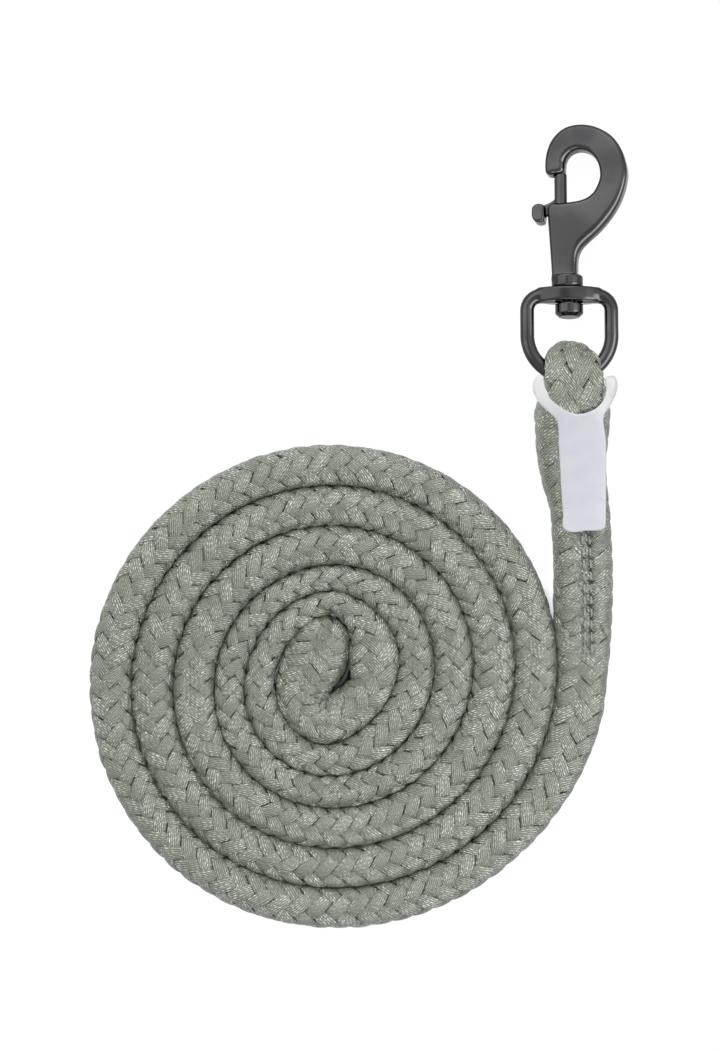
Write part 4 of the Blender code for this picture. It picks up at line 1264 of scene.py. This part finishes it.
def rounded(first: Array, second: Array, radius: float | Array) -> Array:
    """Meet two distances in an edge of a given radius, the same all along or not."""
    a, b = first + radius, second + radius
    return np.minimum(np.maximum(a, b), 0.0) + np.hypot(np.maximum(a, 0.0), np.maximum(b, 0.0)) - radius


def melt(first: Array, second: Array, radius: float) -> Array:
    """Join two solids given by distances, with a fillet of about the given radius."""
    share = np.maximum(radius - np.abs(first - second), 0.0) / radius
    return np.minimum(first, second) - share * share * radius / 4


def carve(body: Array, tool: Array, radius: float) -> Array:
    """Cut a tool out of a solid, with a slightly eased rim."""
    return -melt(-body, tool, radius)


def slab(along: Array, low: float, high: float) -> Array:
    """Measure the distance to the space between two levels."""
    return np.abs(along - (low + high) / 2) - (high - low) / 2


def rod(
    across: Array, through: Array, along: Array, radius: float, low: float, high: float, ease: float
) -> Array:
    """Measure the distance to an upright rod with eased ends."""
    return rounded(np.hypot(across, through) - radius, slab(along, low, high), ease)


@dataclass(frozen=True)
class Block:
    """Block of space in which a solid is given by distances to its skin, cut into small cells."""

    low: tuple
    high: tuple
    cell: float
    outside: float = 10.0

    def grid(self) -> tuple[Array, Array, Array]:
        """Return the three places of every corner of the cells."""
        lines = [np.arange(a, b + self.cell, self.cell) for a, b in zip(self.low, self.high)]
        return tuple(np.meshgrid(*lines, indexing="ij"))

    def piece(self, name: str, distance: Array, place: Array) -> Piece:
        """Make a mesh of the skin, where the distance is zero.

        Args:
            name: Name of the piece.
            distance: Distance at every corner of the cells.
            place: Matrix from the block's places to the frame's millimetres.

        Returns:
            The piece, facing outwards.
        """
        cells = openvdb.FloatGrid(self.outside)
        cells.copyFromArray(distance.astype(np.float32))
        points, quads = cells.convertToQuads(isovalue=0.0)
        points = np.asarray(points, dtype=float) * self.cell + np.array(self.low)
        quads = np.asarray(quads, dtype=int)
        a, b, c, d = (points[quads[:, i]] for i in range(4))
        volume = ((a * np.cross(b, c)).sum() + (a * np.cross(c, d)).sum()) / 6
        if volume < 0:
            quads = quads[:, ::-1]
        return make_piece(name, placed(points, place), [quads])


@dataclass
class SwivelEye:
    """Cast ring in the shape of a D, with a flat boss in its straight side for the swivel pin.

    Sizes are about the middle of the wire that the rope goes round, with Y towards the hook.
    """

    place: Array
    radius: float = 17.4
    height: float = 34.2
    wire: float = 5.8
    corner: float = 6.5
    boss: tuple = (12.9, 2.95, 6.3)
    boss_edge: float = 0.8
    boss_fillet: float = 1.6
    bore: float = 3.1
    bore_ease: float = 0.4
    room: float = 1.0
    cell: float = 0.34

    def build(self, metal: Material) -> None:
        """Join the wire, the boss and its bore.

        The wire is all points within its radius of the D's line. The boss is an oval carried along Y.
        """
        wide, tall, deep = self.boss
        reach = self.radius + self.wire
        top = (reach, self.height + self.wire, deep + self.room)
        block = Block((-reach, -self.wire, -deep - self.room), top, self.cell)
        x, y, z = block.grid()
        low = np.hypot(x, y - self.radius) - self.radius
        high = rounded(np.abs(x) - self.radius, y - self.height, self.corner)
        wire = np.hypot(np.where(y < self.radius, low, high), z) - self.wire / 2
        share = np.hypot(x / wide, z / deep)
        slope = np.hypot(x / wide**2, z / deep**2)
        oval = share * (share - 1.0) / np.maximum(slope, 1e-6)
        boss = rounded(oval, np.abs(y - self.height) - tall, self.boss_edge)
        body = carve(melt(wire, boss, self.boss_fillet), np.hypot(x, z) - self.bore, self.bore_ease)
        piece = block.piece("swivel_ring", body, self.place)
        settle(piece, Body.EYE, Slot.METAL, metal, "swivel_eye")


@dataclass
class SnapHook:
    """Cast hook with a bored barrel, its sprung bolt and the swivel pin in its foot.

    Sizes are about the foot of the collar, with Y along the swivel's axis and Z through the hook. The collar
    is given by its middle, radius and both ends, the pin's head by its radius and both ends, and a soft edge
    by its place, its reach and what it adds to the edge's radius.
    """

    place: Array
    hook_box: tuple = ((-11.0, -1.0, -8.0), (27.0, 71.0, 8.0))
    half_thick: float = 4.3
    edge: float = 1.8
    soft_edges: tuple = ((17.0, 26.0, 9.0, 1.2), (8.0, 18.5, 5.0, 1.4), (0.0, 53.5, 4.5, 1.2))
    dome: float = 0.2
    dome_reach: float = 3.0
    collar: tuple = (-0.7, 6.5, 0.1, 5.1)
    collar_ease: float = 0.8
    collar_fillet: float = 0.4
    bolt_box: tuple = ((-17.0, 24.0, -6.0), (1.5, 51.0, 6.0))
    bolt_x: float = -3.1
    bolt_radius: float = 2.62
    bolt_span: tuple = (27.5, 48.6)
    bolt_ease: float = 0.5
    bore_radius: float = 2.9
    bore_foot: float = 11.5
    bore_ease: float = 0.3
    notch_room: float = 0.15
    notch_top: float = 49.2
    slot_half: float = 1.5
    slot_span: tuple = (19.4, 40.0)
    cut_ease: float = 0.35
    web_half: float = 1.2
    web_ease: float = 0.4
    web_fillet: float = 0.6
    knob_half: float = 4.0
    knob_ease: float = 1.1
    knob_fillet: float = 0.5
    spring_radius: float = 1.85
    spring_wire: float = 0.5
    spring_turns: int = 6
    spring_steps: int = 20
    spring_sides: int = 8
    spring_room: float = 0.6
    spring_keep: float = 0.27
    pin_radius: float = 2.75
    pin_overlap: float = 1.0
    pin_top: float = 1.6
    pin_ease: float = 0.3
    pin_fillet: float = 0.4
    pin_head: tuple = (5.8, -12.3, -6.9)
    head_ease: float = 0.35
    chamfer_height: float = 1.5
    chamfer_slope: float = 1.1
    pin_room: float = 1.0
    pin_block_top: float = 3.0
    cell: float = 0.3
    fine_cell: float = 0.24
    outline: tuple = (
        (-8.7, 48.6), (-9.1, 50.8), (-9.05, 53.4), (-8.4, 57.5), (-7.2, 60.9), (-5.0, 64.2), (-0.9, 67.4),
        (4.6, 68.6), (10.9, 67.7), (14.9, 65.9), (19.2, 62.6), (22.6, 57.5), (24.3, 52.5), (25.0, 47.5),
        (24.6, 44.0), (23.3, 39.1), (21.2, 34.1), (18.1, 29.0), (13.8, 24.0), (8.6, 19.2), (5.7, 16.4),
        (4.3, 13.9), (3.75, 10.6), (3.7, 6.0), (3.7, 2.4), (2.4, 1.6), (-5.4, 1.6), (-6.6, 2.4), (-6.75, 6.0),
        (-7.2, 14.0), (-7.7, 22.0), (-8.15, 30.0), (-8.2, 34.0), (-7.5, 35.3), (-3.0, 35.6), (2.0, 35.9),
        (5.4, 36.4), (8.4, 37.5), (10.6, 39.2), (12.6, 42.4), (13.7, 45.8), (13.6, 49.2), (12.6, 52.6),
        (10.3, 55.8), (7.4, 57.5), (4.6, 57.9), (2.2, 57.1), (0.3, 55.2), (-0.6, 53.0), (-0.9, 50.6),
        (-1.3, 49.0), (-2.4, 48.2), (-5.0, 47.9), (-7.6, 47.9),
    )
    web: tuple = (
        (-10.6, 30.8), (-11.0, 33.0), (-10.6, 35.0), (-8.0, 36.2), (-5.6, 37.5), (-3.4, 37.9), (-2.4, 36.0),
        (-2.4, 33.4), (-4.0, 32.2), (-7.0, 31.4), (-8.6, 30.9), (-9.4, 30.4),
    )
    knob: tuple = (
        (-14.7, 30.0), (-14.9, 32.4), (-14.6, 34.4), (-13.2, 35.5), (-11.0, 35.6), (-9.8, 34.9), (-9.5, 33.0),
        (-9.6, 29.6), (-9.9, 28.3), (-11.2, 27.8), (-13.4, 28.2),
    )

    def casting(self, metal: Material) -> None:
        """Make the hook: its outline carried through the thickness, with a collar, a bore and a slot.

        The plate swells a little away from its outline. Its edges are round, and rounder about some places.
        """
        block = Block(*self.hook_box, self.cell)
        x, y, z = block.grid()
        flat = plate(x, y, self.outline)
        thick = self.half_thick + self.dome * (1.0 - np.exp(np.minimum(flat, 0.0) / self.dome_reach))
        edge = self.edge + sum(
            more * np.exp(-((x - across) ** 2 + (y - along) ** 2) / reach ** 2)
            for across, along, reach, more in self.soft_edges
        )
        body = rounded(flat, np.abs(z) - thick, edge)
        middle, *collar = self.collar
        body = melt(body, rod(x - middle, z, y, *collar, self.collar_ease), self.collar_fillet)
        beside = x - self.bolt_x
        low, high = self.slot_span
        bore = rod(beside, z, y, self.bore_radius, self.bore_foot, high, self.bore_ease)
        notch = rod(beside, z, y, self.bore_radius + self.notch_room, high, self.notch_top, self.bore_ease)
        slot = np.maximum(np.maximum(np.abs(z) - self.slot_half, slab(y, low, high)), beside)
        body = carve(body, np.minimum(np.minimum(bore, notch), slot), self.cut_ease)
        piece = block.piece("hook_casting", body, self.place)
        settle(piece, Body.HOOK, Slot.METAL, metal, "hook_body")

    def bolt(self, metal: Material) -> None:
        """Make the bolt: a rod with an eased tip, a thin web through the slot and a thumb knob."""
        block = Block(*self.bolt_box, self.fine_cell)
        x, y, z = block.grid()
        body = rod(x - self.bolt_x, z, y, self.bolt_radius, *self.bolt_span, self.bolt_ease)
        web = rounded(plate(x, y, self.web), np.abs(z) - self.web_half, self.web_ease)
        knob = rounded(plate(x, y, self.knob), np.abs(z) - self.knob_half, self.knob_ease)
        body = melt(melt(body, web, self.web_fillet), knob, self.knob_fillet)
        piece = block.piece("bolt_with_knob", body, self.place)
        settle(piece, Body.BOLT, Slot.METAL, metal, "gate_bolt")

    def spring(self, steel: Material) -> None:
        """Wind the bolt's spring: a round wire along a helix."""
        low, high = self.bore_foot + self.spring_room, self.bolt_span[0] - self.spring_room
        turn = np.linspace(0.0, TAU * self.spring_turns, self.spring_turns * self.spring_steps + 1)
        out = np.stack([np.cos(turn), np.zeros_like(turn), np.sin(turn)], axis=1)
        line = out * self.spring_radius + ACROSS * self.bolt_x
        line[:, 1] = low + (high - low) * turn / turn[-1]
        up = np.cross(out, unit(np.gradient(line, axis=0)))
        points = round_tube(line, out[:, None], up[:, None], self.spring_wire / 2, self.spring_sides)
        faces = tube_faces(1, *points.shape[:2])
        piece = make_piece("bolt_return_spring", placed(points.reshape(-1, 3), self.place), faces)
        settle(piece, Body.HOOK, Slot.SPRING, steel, "bolt_spring")
        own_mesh(piece)

    def pin(self, metal: Material) -> None:
        """Make the pin: a round shank and a head with a broad chamfer."""
        radius, low, high = self.pin_head
        reach = radius + self.pin_room
        foot = (-reach, low - self.pin_room, -reach)
        block = Block(foot, (reach, self.pin_block_top, reach), self.fine_cell)
        x, y, z = block.grid()
        head = rod(x, z, y, radius, low, high, self.head_ease)
        chamfer = np.hypot(x, z) - radius + (low + self.chamfer_height - y) * self.chamfer_slope
        body = np.maximum(head, chamfer / math.hypot(1.0, self.chamfer_slope))
        shank = rod(x, z, y, self.pin_radius, high - self.pin_overlap, self.pin_top, self.pin_ease)
        piece = block.piece("swivel_rivet", melt(body, shank, self.pin_fillet), self.place)
        settle(piece, Body.HOOK, Slot.METAL, metal, "swivel_pin")

    def build(self, metal: Material, steel: Material) -> None:
        """Make the hook, its bolt with the spring, and its pin."""
        self.casting(metal)
        self.bolt(metal)
        self.spring(steel)
        self.pin(metal)


@dataclass
class SoftTag:
    """Bare soft tongue lying along the neck, whose forked top goes round the upper leg of the eye.

    Sizes are about the bar that the eye goes round, with Y towards the hook.
    """

    place: Array
    box: tuple = ((-17.0, -65.5, -4.0), (23.0, 4.0, 17.5))
    half_thick: float = 0.85
    edge: float = 0.7
    cell: float = 0.34
    outline: tuple = (
        (-2.5, -62.8), (-0.9, -63.8), (6.4, -63.5), (13.3, -62.8), (14.2, -62.2), (14.5, -60.6),
        (14.6, -56.5), (14.6, -50.2), (14.5, -42.9), (14.5, -35.6), (14.4, -30.2), (14.0, -24.8),
        (13.4, -21.1), (13.0, -18.4), (13.6, -15.9), (15.3, -13.2), (17.2, -9.9), (18.6, -6.6),
        (18.9, -3.8), (18.1, -1.6), (16.3, -0.3), (14.5, -0.2), (13.8, -1.1), (14.0, -5.7),
        (13.2, -9.4), (10.8, -12.7), (6.6, -15.1), (2.5, -15.8), (-2.4, -14.4), (-6.8, -11.2),
        (-9.9, -6.6), (-11.2, -2.2), (-11.4, -0.6), (-12.3, 0.1), (-14.2, -0.9), (-15.5, -3.2),
        (-15.5, -6.2), (-14.0, -9.9), (-11.2, -13.4), (-8.2, -16.1), (-6.1, -18.3), (-5.4, -22.1),
        (-5.1, -28.4), (-4.5, -37.4), (-3.9, -46.5), (-3.1, -56.5),
    )
    lift_by_y: tuple = (
        (-64.0, 3.9), (-52.0, 5.4), (-40.0, 7.4), (-30.0, 9.4), (-22.0, 10.6), (-15.0, 13.2), (-8.0, 14.6),
    )
    lift_ease: tuple = (5, 11)
    fork_span: tuple = (-22.0, -8.0)
    fork_middle: float = 1.4
    fork_half: float = 16.6
    horn_drop: float = 6.2
    tongue_middle: float = 5.0
    tongue_bow: float = 0.012
    strap: tuple = (
        (-13.6, -2.6, 8.2), (-14.2, -5.4, 2.6), (-10.0, -8.2, -0.6), (9.0, -8.2, -0.6), (16.4, -5.4, 2.6),
        (17.0, -2.6, 8.2),
    )
    strap_radius: float = 1.2
    strap_breadth: float = 2.0
    strap_fillet: float = 2.0

    def height(self, x: Array, y: Array) -> Array:
        """Work out the height of the tag's middle.

        It follows the neck along Y, eased by the mean over a short way. It drops with the square of the
        distance from the middle, by the horns' drop over the fork and by a slight bow below it.

        Args:
            x: Places across.
            y: Places along.

        Returns:
            Heights above the bar.
        """
        reach, count = self.lift_ease
        table = np.array(self.lift_by_y).T
        shifts = np.linspace(-reach, reach, count)
        height = np.mean([np.interp(y + shift, *table) for shift in shifts], axis=0)
        fork = smooth_step(*self.fork_span, y)
        height = height - self.horn_drop * fork * ((x - self.fork_middle) / self.fork_half) ** 2
        return height - self.tongue_bow * (x - self.tongue_middle) ** 2 * (1 - fork)

    def strap_distance(self, x: Array, y: Array, z: Array) -> Array:
        """Measure the distance to the strap, the least over its straight steps. It is broader along Y."""
        least = np.full(x.shape, FAR)
        knots = np.array(self.strap)
        for start, end in zip(knots[:-1], knots[1:]):
            way = end - start
            share = sum((p - a) * w for p, a, w in zip((x, y, z), start, way)) / (way @ way)
            share = np.clip(share, 0.0, 1.0)
            across, along, above = (p - a - w * share for p, a, w in zip((x, y, z), start, way))
            gap = np.sqrt(across**2 + (along / self.strap_breadth) ** 2 + above**2)
            least = np.minimum(least, gap - self.strap_radius)
        return least

    def build(self, plastic: Material) -> None:
        """Make the tag: its outline carried through a small thickness, with a strap behind the leg."""
        block = Block(*self.box, self.cell)
        x, y, z = block.grid()
        middle = self.height(x[:, :, 0], y[:, :, 0])[:, :, None]
        sheet = rounded(plate(x, y, self.outline), np.abs(z - middle) - self.half_thick, self.edge)
        body = melt(sheet, self.strap_distance(x, y, z), self.strap_fillet)
        piece = block.piece("soft_tongue", body, self.place)
        settle(piece, Body.ROPE, Slot.TAG, plastic, "label_tag")


@dataclass(frozen=True)
class Setting:
    """Where the pieces stand: the bar in the coil, the ring's tilt, and the hook's foot and roll on it."""

    bar_in_coil: tuple = (96.9, 124.7, 0.0)
    tilt: float = -8.0
    foot: float = 37.2
    roll: float = -12.0


def main() -> None:
    """Build the object's pieces in order and report them."""
    logging.basicConfig(level=logging.INFO, format="%(message)s")
    for item in list(bpy.data.objects):
        bpy.data.objects.remove(item, do_unlink=True)
    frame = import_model()
    joints = {joint["name"]: joint for joint in frame["record"]["behaviour"]["joints"]}
    setting = Setting()
    hinge = np.array(joints["eye_swing"]["pos_m"]) / MM
    origin = hinge * np.array([1.0, 1.0, 0.0]) - np.array(setting.bar_in_coil)
    Studio().build()
    yarn = YarnFinish().build()
    thread = ThreadFinish().build()
    metal = MetalFinish("gunmetal_plating", rgb(57, 57, 58), rgb(69, 69, 70)).build()
    steel = MetalFinish("drawn_spring_wire", rgb(150, 150, 152), rgb(172, 172, 175)).build()
    plastic = TagFinish().build()
    at_bar = shift_by(*hinge)
    tilted = at_bar @ turn_about(0, setting.tilt)
    BraidedRope(origin=origin, bar=hinge - origin).build(yarn, thread)
    SwivelEye(place=tilted).build(metal)
    at_foot = tilted @ shift_by(0.0, setting.foot, 0.0)
    SnapHook(place=at_foot @ turn_about(1, setting.roll)).build(metal, steel)
    SoftTag(place=at_bar).build(plastic)
    finishes = {
        Slot.ROPE: yarn, Slot.THREAD: thread, Slot.TAG: plastic, Slot.METAL: metal, Slot.SPRING: steel,
    }
    for part in frame["record"]["subparts"]:
        item = frame["nodes"][part["node"]]
        item.data.materials.clear()
        item.data.materials.append(finishes[Slot(part["material_slot"])])
    bpy.context.scene.view_settings.view_transform = "Standard"


if __name__ == "__main__":
    main()
